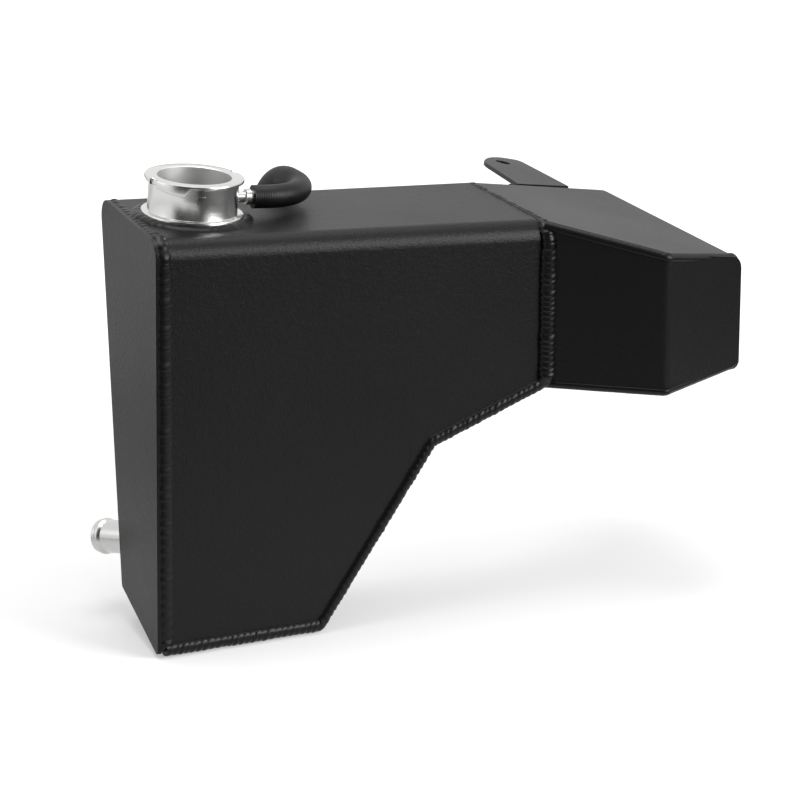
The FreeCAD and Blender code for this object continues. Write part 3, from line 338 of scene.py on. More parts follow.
bead_curve = add_node(bead_tree, "GeometryNodeMeshToCurve", (("Mesh", bead_in.outputs["Line"]),))
bead_round = add_node(bead_tree, "GeometryNodeFilletCurve",
                      (("Curve", bead_curve.outputs["Curve"]), ("Radius", named(bead_tree, "turn")),
                       ("Count", 8)), mode="POLY")
bead_step = maths(bead_tree, "DIVIDE", bead_in.outputs["Pitch"], 7.0)
bead_line = add_node(bead_tree, "GeometryNodeResampleCurve",
                     (("Curve", bead_round.outputs["Curve"]), ("Length", bead_step)), mode="LENGTH")
bead_along = add_node(bead_tree, "GeometryNodeSplineParameter").outputs["Length"]
bead_place = add_node(bead_tree, "GeometryNodeInputPosition").outputs["Position"]
bead_kept = keep(bead_tree, bead_line.outputs["Curve"], "along", bead_along)
bead_kept = keep(bead_tree, bead_kept, "core", bead_place, "FLOAT_VECTOR")
bead_ring = add_node(bead_tree, "GeometryNodeCurvePrimitiveCircle",
                     (("Resolution", 20), ("Radius", 1.0 * MM)))
bead_tube = add_node(bead_tree, "GeometryNodeCurveToMesh",
                     (("Curve", bead_kept), ("Profile Curve", bead_ring.outputs["Curve"]),
                      ("Fill Caps", True)))
bead_point = add_node(bead_tree, "GeometryNodeInputPosition").outputs["Position"]
bead_core = named(bead_tree, "core", "FLOAT_VECTOR")
bead_up = vector_maths(bead_tree, "NORMALIZE", named(bead_tree, "outward", "FLOAT_VECTOR"))
bead_arm = vector_maths(bead_tree, "NORMALIZE",
                        vector_maths(bead_tree, "SUBTRACT", bead_point, bead_core))
bead_lift = vector_maths(bead_tree, "DOT_PRODUCT", bead_arm, bead_up)
bead_rise = vector_maths(bead_tree, "SCALE", bead_up, scale=bead_lift)
bead_side = vector_maths(bead_tree, "SUBTRACT", bead_arm, bead_rise)
# Ripples lag at the sides of the bead, which bends them into crescents
bead_lag = maths(bead_tree, "MULTIPLY", maths(bead_tree, "SUBTRACT", 1.0, bead_lift),
                 bead_in.outputs["Crescent"])
bead_length = named(bead_tree, "along")
bead_shift = vector_maths(bead_tree, "SCALE", bead_core, scale=90.0)
bead_wander = add_node(bead_tree, "ShaderNodeTexNoise",
                       (("Vector", bead_shift), ("W", bead_in.outputs["Seed"]), ("Scale", 1.0),
                        ("Detail", 2.0)), noise_dimensions="4D").outputs[0]
bead_jitter = maths(bead_tree, "MULTIPLY", maths(bead_tree, "SUBTRACT", bead_wander, 0.5), 5.0 * MM)
bead_lagged = maths(bead_tree, "SUBTRACT", bead_length, bead_lag)
bead_phase = maths(bead_tree, "DIVIDE", maths(bead_tree, "ADD", bead_lagged, bead_jitter),
                   bead_in.outputs["Pitch"])
bead_part = maths(bead_tree, "FRACT", bead_phase)
bead_number = maths(bead_tree, "FLOOR", bead_phase)
bead_random = add_node(bead_tree, "FunctionNodeRandomValue",
                       (("ID", bead_number), ("Seed", bead_in.outputs["Seed"])),
                       data_type="FLOAT").outputs[1]
bead_scale = maths(bead_tree, "MULTIPLY_ADD", bead_random, 0.7, 0.5)
bead_skew = maths(bead_tree, "POWER", bead_part, 0.55)
bead_wave = maths(bead_tree, "SINE", maths(bead_tree, "MULTIPLY", bead_skew, math.pi))
bead_bump = maths(bead_tree, "MULTIPLY", maths(bead_tree, "MULTIPLY", bead_wave, bead_scale),
                  bead_in.outputs["Ripple"])
bead_swell = maths(bead_tree, "MULTIPLY", maths(bead_tree, "SUBTRACT", bead_wander, 0.5),
                   maths(bead_tree, "MULTIPLY", bead_in.outputs["Unevenness"], 2.0))
bead_extra = maths(bead_tree, "ADD", bead_bump, bead_swell)
bead_wide = maths(bead_tree, "MULTIPLY_ADD", bead_in.outputs["Width"], named(bead_tree, "breadth"),
                  bead_extra)
bead_tall = maths(bead_tree, "ADD", bead_in.outputs["Height"], bead_extra)
bead_new = vector_maths(bead_tree, "ADD", vector_maths(bead_tree, "SCALE", bead_side, scale=bead_wide),
                        vector_maths(bead_tree, "SCALE", bead_rise, scale=bead_tall))
bead_moved = add_node(bead_tree, "GeometryNodeSetPosition",
                      (("Geometry", bead_tube.outputs["Mesh"]),
                       ("Position", vector_maths(bead_tree, "ADD", bead_core, bead_new))))
bead_smooth = add_node(bead_tree, "GeometryNodeSetShadeSmooth",
                       (("Geometry", bead_moved.outputs["Geometry"]),))
bead_real = add_node(bead_tree, "GeometryNodeRealizeInstances",
                     (("Geometry", bead_smooth.outputs["Geometry"]),))
bead_made = add_node(bead_tree, "GeometryNodeSetMaterial",
                     (("Geometry", bead_real.outputs["Geometry"]), ("Material", bead_in.outputs["Finish"])))
bead_tree.links.new(bead_made.outputs["Geometry"], bead_out.inputs["Bead"])


def socket_id(tree, label):
    for item in tree.interface.items_tree:
        if item.name == label and item.in_out == "INPUT":
            return item.identifier


def line_mesh(name, points, closed):
    """Points of a path, each with its rounding, its outward direction and its breadth."""
    mesh = bpy.data.meshes.new(name)
    count = len(points)
    edges = [(number, (number + 1) % count) for number in range(count if closed else count - 1)]
    mesh.from_pydata([Vector(point[0]) * MM for point in points], edges, [])
    mesh.attributes.new("turn", "FLOAT", "POINT")
    mesh.attributes.new("outward", "FLOAT_VECTOR", "POINT")
    mesh.attributes.new("breadth", "FLOAT", "POINT")
    for number, (place, turn, outward, breadth) in enumerate(points):
        mesh.attributes["turn"].data[number].value = turn * MM
        mesh.attributes["outward"].data[number].vector = outward
        mesh.attributes["breadth"].data[number].value = breadth
    item = bpy.data.objects.new(name, mesh)
    bpy.context.scene.collection.objects.link(item)
    return item


def legs(corners, outwards, closed=False, breadths=(1.0,)):
    """Straight legs between rounded corners, each with its own outward direction and breadth."""
    points = []
    count = len(corners)
    for number, outward in enumerate(outwards):
        wide = breadths[number % len(breadths)]
        wide_before = breadths[(number - 1) % len(breadths)] if number or closed else wide
        start, start_turn = Vector(corners[number][0]), corners[number][1]
        end, end_turn = Vector(corners[(number + 1) % count][0]), corners[(number + 1) % count][1]
        along = (end - start).normalized()
        facing = Vector(outward).normalized()
        before = Vector(outwards[number - 1]).normalized() if number or closed else facing
        points.append((tuple(start), start_turn, tuple((facing + before).normalized()),
                       (wide + wide_before) / 2))
        if start_turn:
            points.append((tuple(start + along * start_turn * 1.6), 0.0, tuple(facing), wide))
        if end_turn:
            points.append((tuple(end - along * end_turn * 1.6), 0.0, tuple(facing), wide))
    if not closed:
        points.append((tuple(end), 0.0, tuple(facing), wide))
    return points


WELD_BLACK = (0.0030, 0.0034, 0.0032)
WELD_COAT = powder_coat("black_coat_on_weld", WELD_BLACK, 0.28, 0.36, 0.20, 0.21)
SOFT_WELD_COAT = powder_coat("black_coat_on_smooth_weld", WELD_BLACK, 0.33, 0.41, 0.30, 0.20)


def weld(name, node, points, closed=False, coat=WELD_COAT, **sizes):
    item = line_mesh(name + "_line", points, closed)
    modifier = item.modifiers.new("bead", "NODES")
    modifier.node_group = bead_tree
    for label, amount in sizes.items():
        modifier[socket_id(bead_tree, label)] = amount
    modifier[socket_id(bead_tree, "Finish")] = coat
    item.update_tag()
    finish_piece(settled(item, name), "coated_weld", coat, node)


FRONT = (0.0, -1.0, 0.0)
TOP = (0.0725, 0.0, 0.9974)
REAR = (-0.0121, 0.9860, -0.1661)
BOTTOM = (0.0, 0.2622, -0.9650)
FLOOR = (0.0, 0.0, -1.0)
weld("left_end_bead", "weld_left_end", legs((
    ((-306.43, -183.40, 35.10), 9.4), ((-294.05, -82.20, 33.40), 9.4),
    ((-298.50, -117.64, -183.46), 3.9), ((-306.43, -183.40, -201.33), 3.9),
), (TOP, REAR, BOTTOM, FRONT), True, (0.74, 0.66, 0.72, 1.0)), closed=True, coat=SOFT_WELD_COAT, Width=4.6 * MM,
     Height=2.35 * MM, Pitch=5.4 * MM, Ripple=0.55 * MM, Unevenness=0.2 * MM, Seed=3)
weld("seam_bead", "weld_seam", legs((
    ((-68.39, -185.90, 16.70), 8.8), ((-68.39, -82.60, 16.10), 8.8),
    ((-68.39, -97.23, -75.52), 5.2), ((-68.39, -185.90, -75.52), 5.2),
), (TOP, REAR, FLOOR, (-0.32, -0.95, 0.0)), True, (0.68, 0.8, 1.0, 1.0)), closed=True, Width=4.7 * MM,
     Height=3.45 * MM, Pitch=3.3 * MM, Ripple=0.55 * MM, Seed=5)
weld("lower_front_bead", "weld_lower_front", legs((
    ((-306.86, -182.80, -200.55), 0.0), ((-210.66, -182.80, -200.55), 4.7),
    ((-140.89, -182.80, -100.99), 4.7), ((-69.59, -182.80, -75.39), 0.0),
), ((0.0, -0.607, -0.794), (0.6, -0.64, -0.48), (0.25, -0.7, -0.66))), Width=4.1 * MM, Height=3.7 * MM,
     Pitch=3.8 * MM, Ripple=0.45 * MM, Seed=8)
weld("lower_rear_bead", "weld_lower_rear", legs((
    ((-300.20, -118.17, -182.99), 0.0), ((-198.10, -116.86, -182.63), 4.7),
    ((-140.89, -102.40, -100.99), 4.7), ((-69.59, -97.22, -75.39), 0.0),
), ((0.0, 0.741, -0.671), (0.55, 0.65, -0.52), (0.22, 0.66, -0.72))), Width=4.1 * MM, Height=3.7 * MM,
     Pitch=3.8 * MM, Seed=9)
weld("bottom_joint_bead", "weld_bottom_joint", legs((
    ((-210.66, -182.80, -200.55), 0.0), ((-198.10, -116.86, -182.63), 0.0),
), ((0.465, 0.149, -0.873),)), Width=4.1 * MM, Height=3.7 * MM, Pitch=3.8 * MM, Seed=11)
weld("chamber_front_bead", "weld_chamber_front", legs((
    ((-69.59, -183.34, 18.20), 0.0), ((-13.90, -227.49, 3.92), 3.0), ((48.71, -197.46, -12.13), 7.7),
    ((48.71, -197.46, -76.42), 3.0), ((-13.90, -227.49, -76.42), 3.0), ((-69.59, -183.34, -76.42), 0.0),
), ((-0.287, -0.603, 0.745), (0.47, -0.65, 0.6), (0.74, -0.67, 0.0), (0.29, -0.64, -0.71),
    (-0.44, -0.55, -0.707))), coat=SOFT_WELD_COAT, Width=2.75 * MM, Height=1.85 * MM, Pitch=3.3 * MM,
     Ripple=0.05 * MM, Crescent=1.6 * MM, Unevenness=0.14 * MM, Seed=13)
weld("chamber_floor_bead", "weld_chamber_floor", legs((
    ((48.71, -197.46, -76.42), 0.0), ((48.71, -45.66, -76.42), 3.0), ((-69.59, -96.60, -76.42), 0.0),
), ((0.707, 0.0, -0.707), (-0.257, 0.598, -0.759))), Width=2.75 * MM, Height=2.3 * MM, Pitch=3.6 * MM,
     Ripple=0.4 * MM, Seed=15)
weld("chamber_corner_bead", "weld_chamber_corner", legs((
    ((48.71, -45.66, -76.42), 0.0), ((48.71, -36.90, -24.46), 0.0),
), ((0.552, 0.822, -0.138),)), Width=2.75 * MM, Height=2.3 * MM, Pitch=3.6 * MM, Ripple=0.4 * MM, Seed=17)
weld("tab_bead", "weld_tab", legs((
    ((-29.59, -65.83, 5.26), 0.0), ((15.41, -48.40, -6.27), 0.0),
), ((-0.391, 0.908, -0.153),)), Width=2.3 * MM, Height=2.1 * MM, Pitch=3.0 * MM, Ripple=0.35 * MM, Seed=19)

# Rings of weld round the neck's flange, the outlet pipe and the elbow, run in the same way.


def ring_corners(centre, axis, radius, count=24, lean=0.75):
    """Points round a pipe, the bead leaning out from its foot."""
    axis = Vector(axis).normalized()
    side = axis.orthogonal().normalized()
    other = axis.cross(side)
    corners = []
    for number in range(count):
        turn = math.tau * number / count
        arm = side * math.cos(turn) + other * math.sin(turn)
        place = Vector(centre) + arm * radius
        corners.append((tuple(place), 0.0, tuple((arm * lean + axis).normalized()), 1.0))
    return corners


NECK_AXIS = Vector((0.072542, 0.0, 0.997365))
NECK_BASE = Vector((-266.490, -133.200, 33.868))
weld("neck_bead", "weld_neck", ring_corners(NECK_BASE - NECK_AXIS * 0.4, NECK_AXIS, 31.8, 48, 0.5), closed=True,
     coat=SOFT_WELD_COAT, Width=4.0 * MM, Height=2.2 * MM, Pitch=5.6 * MM, Ripple=0.30 * MM, Crescent=1.2 * MM,
     Unevenness=0.8 * MM, Seed=21)
OUTLET_BASE = Vector((-285.990, -111.927, -160.224))
OUTLET_AXIS = Vector((-0.427959, 0.889233, -0.161604))
weld("outlet_bead", "weld_outlet", ring_corners(OUTLET_BASE + OUTLET_AXIS * 1.0, OUTLET_AXIS, 10.8), closed=True,
     Width=1.6 * MM, Height=1.5 * MM, Pitch=3.0 * MM, Ripple=0.3 * MM, Crescent=0.8 * MM, Seed=23)
weld("elbow_bead", "weld_elbow", ring_corners((-191.186, -87.0, -23.282), (0, 1, 0), 5.2, 16), closed=True,
     Width=1.4 * MM, Height=1.3 * MM, Pitch=2.6 * MM, Ripple=0.25 * MM, Crescent=0.6 * MM, Seed=25)

# Filler neck, turned from solid aluminium bar and left bare. Two rims under its lip carry the
# cap's ears. The lathe's tool leaves fine rings all round it.
lathe_group, lathe_in, lathe_out = new_group(
    "lathe_rings", (("Rings", 5200.0), ("Smear", 30.0), ("Bore", 0.0)), ("Height", "Shine", "Inside"))
lathe_group.interface.new_socket("Place", in_out="INPUT", socket_type="NodeSocketVector")
lathe_split = lathe_group.nodes.new("ShaderNodeSeparateXYZ")
lathe_group.links.new(lathe_in.outputs["Place"], lathe_split.inputs[0])
lathe_radius = maths(lathe_group, "SQRT", maths(
    lathe_group, "ADD",
    maths(lathe_group, "MULTIPLY", lathe_split.outputs[0], lathe_split.outputs[0]),
    maths(lathe_group, "MULTIPLY", lathe_split.outputs[1], lathe_split.outputs[1])))
lathe_turned = lathe_group.nodes.new("ShaderNodeCombineXYZ")
lathe_across = maths(lathe_group, "MULTIPLY", lathe_radius, lathe_in.outputs["Rings"])
lathe_group.links.new(lathe_across, lathe_turned.inputs[0])
lathe_up = maths(lathe_group, "MULTIPLY", lathe_split.outputs[2], lathe_in.outputs["Rings"])
lathe_group.links.new(lathe_up, lathe_turned.inputs[1])
lathe_angle = maths(lathe_group, "ARCTAN2", lathe_split.outputs[1], lathe_split.outputs[0])
lathe_group.links.new(maths(lathe_group, "MULTIPLY", lathe_angle, 0.6), lathe_turned.inputs[2])
lathe_fine = noise(lathe_group, lathe_turned.outputs[0], 1.0, 2.0, 0.6)
lathe_group.links.new(lathe_fine, lathe_out.inputs["Height"])
lathe_spots = maths(lathe_group, "MULTIPLY", lathe_in.outputs["Smear"], 4.0)
lathe_cloud = noise(lathe_group, lathe_in.outputs["Place"], lathe_spots)
lathe_half = maths(lathe_group, "MULTIPLY", lathe_cloud, 0.5)
lathe_shine = maths(lathe_group, "MULTIPLY_ADD", lathe_fine, 0.5, lathe_half)
lathe_group.links.new(lathe_shine, lathe_out.inputs["Shine"])
lathe_inside = maths(lathe_group, "LESS_THAN", lathe_radius, lathe_in.outputs["Bore"])
lathe_group.links.new(lathe_inside, lathe_out.inputs["Inside"])


def turned_metal(name, colour, base, axis, rough_low, rough_high, bump, bore=0.0):
    """Bare machined aluminium, its rings centred on the piece's own axis, duller inside its bore."""
    material = bpy.data.materials.new(name)
    material.use_nodes = True
    tree = material.node_tree
    shader = tree.nodes["Principled BSDF"]
    shader.inputs["Base Color"].default_value = (*colour, 1)
    shader.inputs["Metallic"].default_value = 1.0
    place = tree.nodes.new("ShaderNodeMapping")
    place.vector_type = "TEXTURE"
    place.inputs["Location"].default_value = Vector(base) * MM
    place.inputs["Rotation"].default_value = Vector(axis).to_track_quat("Z", "Y").to_euler()
    tree.links.new(tree.nodes.new("ShaderNodeTexCoord").outputs["Object"], place.inputs["Vector"])
    rings = tree.nodes.new("ShaderNodeGroup")
    rings.node_tree = lathe_group
    tree.links.new(place.outputs["Vector"], rings.inputs["Place"])
    spread = tree.nodes.new("ShaderNodeMapRange")
    spread.inputs["From Min"].default_value = 0.3
    spread.inputs["From Max"].default_value = 0.7
    spread.inputs["To Min"].default_value = rough_low
    spread.inputs["To Max"].default_value = rough_high
    tree.links.new(rings.outputs["Shine"], spread.inputs["Value"])
    rings.inputs["Bore"].default_value = bore * MM
    tree.links.new(maths(tree, "MULTIPLY_ADD", rings.outputs["Inside"], 0.28, spread.outputs["Result"]),
                   shader.inputs["Roughness"])
    relief = tree.nodes.new("ShaderNodeBump")
    relief.inputs["Distance"].default_value = 0.00003
    relief.inputs["Strength"].default_value = bump
    tree.links.new(rings.outputs["Height"], relief.inputs["Height"])
    tree.links.new(relief.outputs["Normal"], shader.inputs["Normal"])
    return material


def stand(axis, base):
    """Turns a shape made about +Z onto an axis and stands it on a base, in millimetres."""
    axis = Vector(axis)
    side = Vector((1, 0, 0)) - axis * axis.x
    side.normalize()
    other = axis.cross(side)
    turn = Matrix((side, other, axis)).transposed().to_4x4()
    return Matrix.Translation(Vector(base) * MM) @ turn


def turned(name, columns, axis, base):
    """A turned shape. Each column is an angle in degrees and a closed section of (radius, height)."""
    mesh = bpy.data.meshes.new(name)
    work = bmesh.new()
    rows = []
    for angle, section in columns:
        turn = math.radians(angle)
        rows.append([work.verts.new((radius * math.cos(turn) * MM, radius * math.sin(turn) * MM, height * MM))
                     for radius, height in section])
    size = len(rows[0])
    for number, row in enumerate(rows):
        after = rows[(number + 1) % len(rows)]
        for place in range(size):
            work.faces.new((row[place], after[place], after[(place + 1) % size], row[(place + 1) % size]))
    bmesh.ops.transform(work, matrix=stand(axis, base), verts=work.verts)
    bmesh.ops.recalc_face_normals(work, faces=work.faces)
    for face in work.faces:
        face.smooth = True
    for line in work.edges:
        line.smooth = line.calc_face_angle(0) < math.radians(28)
    work.to_mesh(mesh)
    work.free()
    piece = bpy.data.objects.new(name, mesh)
    bpy.context.scene.collection.objects.link(piece)
    return piece


NECK_BORE = 21.0
NECK_OUT = 25.3
NECK_HIGH = 23.6
LIP_OUT = 28.0
LIP_THICK = 2.0
FLANGE_OUT = 28.8
FLANGE_HIGH = 3.3
RIM_START = 170.0
RIM_FULL = 235.0
RIM_END = 241.0
NOTCH_TURN = 190.0
STOP_TURN = 255.0
NOTCH_HALF = 3.1
NOTCH_DEEP = 2.2
STOP_HALF = 2.25
STOP_DEEP = 0.9
STOP_LOW = 15.2
SEAT_BORE = 16.5
SEAT_HIGH = -1.8
SPIGOT_LOW = -4.2


def rim_drop(angle):
    """How far a rim hangs below the lip: a ramp for the cap's ear, with a sloping end."""
    turn = angle % 180 - (RIM_START - 180)
    if turn > 180:
        turn -= 180
    full = RIM_FULL - RIM_START
    if turn <= full:
        return 0.3 + 5.1 * turn / (RIM_END - RIM_START)
    if turn <= RIM_END - RIM_START:
        return 5.0 * (1 - (turn - full) / (RIM_END - RIM_FULL))
    return 0.0


def neck_section(angle):
    low = NECK_HIGH - LIP_THICK - rim_drop(angle)
    notch_across = math.radians((angle - NOTCH_TURN + 90) % 180 - 90) * LIP_OUT
    out = LIP_OUT
    if abs(notch_across) < NOTCH_HALF:
        out = LIP_OUT - NOTCH_DEEP * math.sqrt(1 - (notch_across / NOTCH_HALF) ** 2)
    stop_across = math.radians((angle - STOP_TURN + 90) % 180 - 90) * NECK_OUT
    stop = NECK_OUT + (STOP_DEEP if abs(stop_across) < STOP_HALF else 0.0)
    foot = min(STOP_LOW, low - 2.5)
    return (
        (SEAT_BORE, SPIGOT_LOW), (NECK_OUT, SPIGOT_LOW), (NECK_OUT, 0.0),
        (FLANGE_OUT - 0.3, 0.0), (FLANGE_OUT, 0.3), (FLANGE_OUT, FLANGE_HIGH - 0.6),
        (FLANGE_OUT - 0.18, FLANGE_HIGH - 0.18), (FLANGE_OUT - 0.6, FLANGE_HIGH),
        (NECK_OUT + 0.35, FLANGE_HIGH), (NECK_OUT + 0.1, FLANGE_HIGH + 0.1),
        (NECK_OUT, FLANGE_HIGH + 0.35),
        (NECK_OUT, foot), (stop, foot + 0.2), (stop, foot + 2.2), (NECK_OUT, foot + 2.4),
        (NECK_OUT, low), (out - 0.3, low), (out, low + 0.3),
        (out, NECK_HIGH - 0.7), (out - 0.2, NECK_HIGH - 0.2), (out - 0.7, NECK_HIGH),
        (NECK_BORE + 0.5, NECK_HIGH), (NECK_BORE, NECK_HIGH - 0.5),
        (NECK_BORE, SEAT_HIGH), (SEAT_BORE, SEAT_HIGH),
    )


neck_angles = [number * 2.0 for number in range(180)]
for half in (0, 180):
    neck_angles += [(turn + half) % 360 for turn in (RIM_START - 0.1, RIM_START + 0.1, RIM_FULL, RIM_END)]
    neck_angles += [(STOP_TURN + half + step) % 360 for step in (-5.2, -5.0, 5.0, 5.2)]
    neck_angles += [(NOTCH_TURN + half + step * 0.64) % 360 for step in range(-10, 11)]
neck = turned("filler_neck_turned", [(angle, neck_section(angle)) for angle in sorted(set(neck_angles))],
              NECK_AXIS, NECK_BASE)
NECK_METAL = turned_metal("bare_turned_neck", (0.68, 0.68, 0.67), NECK_BASE, NECK_AXIS, 0.15, 0.25, 0.30, 21.4)
finish_piece(neck, "bare_neck", NECK_METAL, "filler_neck")

# Overflow nipple, a short turned tube pressed into the neck's side, with a shoulder that the
# hose is pushed up to. Only its shoulder shows between neck and hose.
NIPPLE_BASE = Vector((-265.707, -133.200, 44.638))
NIPPLE_AXIS = Vector((0.989931, -0.121869, -0.072001))
ROUND = [number * 7.5 for number in range(48)]
nipple_profile = ((2.5, 21.2), (3.0, 21.2), (3.0, 30.4), (4.2, 30.5), (4.4, 30.7), (4.4, 33.5), (4.2, 33.7),
                  (4.0, 33.9), (4.0, 38.9), (3.6, 39.3), (2.5, 39.3))
nipple = turned("overflow_nipple_turned", [(angle, nipple_profile) for angle in ROUND], NIPPLE_AXIS, NIPPLE_BASE)
finish_piece(nipple, "bare_tube", turned_metal("bare_nipple", (0.52, 0.52, 0.51), NIPPLE_BASE, NIPPLE_AXIS,
                                               0.24, 0.34, 0.3), "overflow_nipple")

# Overflow hose, moulded black rubber on a fabric braid, pushed over the nipple. It loops out
# to the side, round to the rear and down to the elbow behind the tank.
hose_tree = bpy.data.node_groups.new("ribbed_hose", "GeometryNodeTree")
for label, kind, default in (
    ("Line", "NodeSocketGeometry", None),
    ("Outside", "NodeSocketFloat", 6.65 * MM),
    ("Inside", "NodeSocketFloat", 4.0 * MM),
    ("Rib pitch", "NodeSocketFloat", 1.3 * MM),
    ("Rib height", "NodeSocketFloat", 0.10 * MM),
    ("Finish", "NodeSocketMaterial", None),
):
    hose_socket = hose_tree.interface.new_socket(label, in_out="INPUT", socket_type=kind)
    if default is not None:
        hose_socket.default_value = default
hose_tree.interface.new_socket("Hose", in_out="OUTPUT", socket_type="NodeSocketGeometry")
hose_in = hose_tree.nodes.new("NodeGroupInput")
hose_out = hose_tree.nodes.new("NodeGroupOutput")
hose_curve = add_node(hose_tree, "GeometryNodeMeshToCurve", (("Mesh", hose_in.outputs["Line"]),))
hose_round = add_node(hose_tree, "GeometryNodeFilletCurve",
                      (("Curve", hose_curve.outputs["Curve"]), ("Radius", named(hose_tree, "turn")),
                       ("Count", 40)), mode="POLY")
hose_line = add_node(hose_tree, "GeometryNodeResampleCurve",
                     (("Curve", hose_round.outputs["Curve"]),
                      ("Length", maths(hose_tree, "DIVIDE", hose_in.outputs["Rib pitch"], 4.0))), mode="LENGTH")
hose_run = add_node(hose_tree, "GeometryNodeSplineParameter").outputs["Length"]
hose_core = add_node(hose_tree, "GeometryNodeInputPosition").outputs["Position"]
hose_kept = keep(hose_tree, hose_line.outputs["Curve"], "along", hose_run)
hose_kept = keep(hose_tree, hose_kept, "core", hose_core, "FLOAT_VECTOR")
hose_walls = add_node(hose_tree, "GeometryNodeJoinGeometry")
for wall_name, wall_size in (("outer", "Outside"), ("inner", "Inside")):
    wall_ring = add_node(hose_tree, "GeometryNodeCurvePrimitiveCircle",
                         (("Resolution", 40), ("Radius", hose_in.outputs[wall_size])))
    wall_tube = add_node(hose_tree, "GeometryNodeCurveToMesh",
                         (("Curve", hose_kept), ("Profile Curve", wall_ring.outputs["Curve"])))
    wall_mesh = wall_tube.outputs["Mesh"]
    if wall_name == "inner":
        wall_mesh = add_node(hose_tree, "GeometryNodeFlipFaces", (("Mesh", wall_mesh),)).outputs["Mesh"]
    hose_tree.links.new(keep(hose_tree, wall_mesh, "outer_wall", 1.0 if wall_name == "outer" else 0.0),
                        hose_walls.inputs["Geometry"])
hose_point = add_node(hose_tree, "GeometryNodeInputPosition").outputs["Position"]
hose_arm = vector_maths(hose_tree, "NORMALIZE",
                        vector_maths(hose_tree, "SUBTRACT", hose_point,
                                     named(hose_tree, "core", "FLOAT_VECTOR")))
hose_turns = maths(hose_tree, "DIVIDE", named(hose_tree, "along"), hose_in.outputs["Rib pitch"])
hose_wave = maths(hose_tree, "COSINE", maths(hose_tree, "MULTIPLY", hose_turns, math.tau))
hose_dip = maths(hose_tree, "MULTIPLY", maths(hose_tree, "SUBTRACT", hose_wave, 1.0), 0.5)
hose_bump = maths(hose_tree, "MULTIPLY", hose_dip,
                  maths(hose_tree, "MULTIPLY", hose_in.outputs["Rib height"],
                        named(hose_tree, "outer_wall")))
hose_moved = add_node(hose_tree, "GeometryNodeSetPosition",
                      (("Geometry", hose_walls.outputs["Geometry"]),
                       ("Offset", vector_maths(hose_tree, "SCALE", hose_arm, scale=hose_bump))))
hose_smooth = add_node(hose_tree, "GeometryNodeSetShadeSmooth",
                       (("Geometry", hose_moved.outputs["Geometry"]),))
hose_real = add_node(hose_tree, "GeometryNodeRealizeInstances",
                     (("Geometry", hose_smooth.outputs["Geometry"]),))
hose_made = add_node(hose_tree, "GeometryNodeSetMaterial",
                     (("Geometry", hose_real.outputs["Geometry"]), ("Material", hose_in.outputs["Finish"])))
hose_tree.links.new(hose_made.outputs["Geometry"], hose_out.inputs["Hose"])

HOSE_RUBBER = bpy.data.materials.new("hose_rubber")
HOSE_RUBBER.use_nodes = True
rubber_tree = HOSE_RUBBER.node_tree
rubber_shader = rubber_tree.nodes["Principled BSDF"]
rubber_shader.inputs["Base Color"].default_value = (0.0025, 0.0027, 0.0026, 1)
rubber_shader.inputs["Specular IOR Level"].default_value = 0.24
rubber_place = rubber_tree.nodes.new("ShaderNodeTexCoord").outputs["Object"]
rubber_grain = noise(rubber_tree, rubber_place, 1600.0, 2.0)
rubber_cloud = noise(rubber_tree, rubber_place, 120.0, 3.0)
rubber_spread = add_node(rubber_tree, "ShaderNodeMapRange",
                         (("Value", rubber_cloud), ("From Min", 0.3), ("From Max", 0.7), ("To Min", 0.36),
                          ("To Max", 0.50)))
rubber_tree.links.new(rubber_spread.outputs["Result"], rubber_shader.inputs["Roughness"])
rubber_bump = add_node(rubber_tree, "ShaderNodeBump",
                       (("Height", rubber_grain), ("Distance", 0.00006), ("Strength", 0.5)))
rubber_tree.links.new(rubber_bump.outputs["Normal"], rubber_shader.inputs["Normal"])

hose_path = line_mesh("hose_line", (
    ((-231.06, -137.47, 42.12), 0.0, (0, 0, 1), 1.0),
    ((-191.19, -142.37, 39.22), 29.0, (0, 0, 1), 1.0),
    ((-191.19, -62.70, 39.22), 42.0, (0, 0, 1), 1.0),
    ((-191.19, -62.70, -12.78), 0.0, (0, 0, 1), 1.0),
), False)
hose_modifier = hose_path.modifiers.new("hose", "NODES")
hose_modifier.node_group = hose_tree
hose_modifier[socket_id(hose_tree, "Finish")] = HOSE_RUBBER
hose = settled(hose_path, "overflow_hose_ribbed")
# The cut ends are closed by a ring of faces between the outer and the inner wall
hose_work = bmesh.new()
hose_work.from_mesh(hose.data)
hose_rims = [line for line in hose_work.edges if len(line.link_faces) == 1]
bmesh.ops.bridge_loops(hose_work, edges=[line for line in hose_rims if line.verts[0].co.z > 0.02])
bmesh.ops.bridge_loops(hose_work, edges=[line for line in hose_rims if line.verts[0].co.z <= 0.02])
bmesh.ops.recalc_face_normals(hose_work, faces=hose_work.faces)
for line in hose_work.edges:
    line.smooth = line.calc_face_angle(0) < math.radians(50)
hose_work.to_mesh(hose.data)
hose_work.free()
finish_piece(hose, "rubber_hose", HOSE_RUBBER, "overflow_hose")

# Elbow on the rear wall, bent from small aluminium tube, which takes the hose's lower end.
elbow_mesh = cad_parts["hose_elbow"].data.copy()
elbow_mesh.materials.clear()
elbow_work = bmesh.new()
elbow_work.from_mesh(elbow_mesh)
bmesh.ops.remove_doubles(elbow_work, verts=elbow_work.verts, dist=2e-6)
for face in elbow_work.faces:
    face.smooth = True
for line in elbow_work.edges:
    line.smooth = line.calc_face_angle(0) < math.radians(35)
elbow_work.to_mesh(elbow_mesh)
elbow_work.free()
elbow = bpy.data.objects.new("hose_elbow_tube", elbow_mesh)
bpy.context.scene.collection.objects.link(elbow)
finish_piece(elbow, "bare_tube", turned_metal("bare_elbow", (0.78, 0.78, 0.77), (-191.2, -62.7, 0), (0, 0, 1),
                                              0.24, 0.36, 0.2), "hose_elbow")

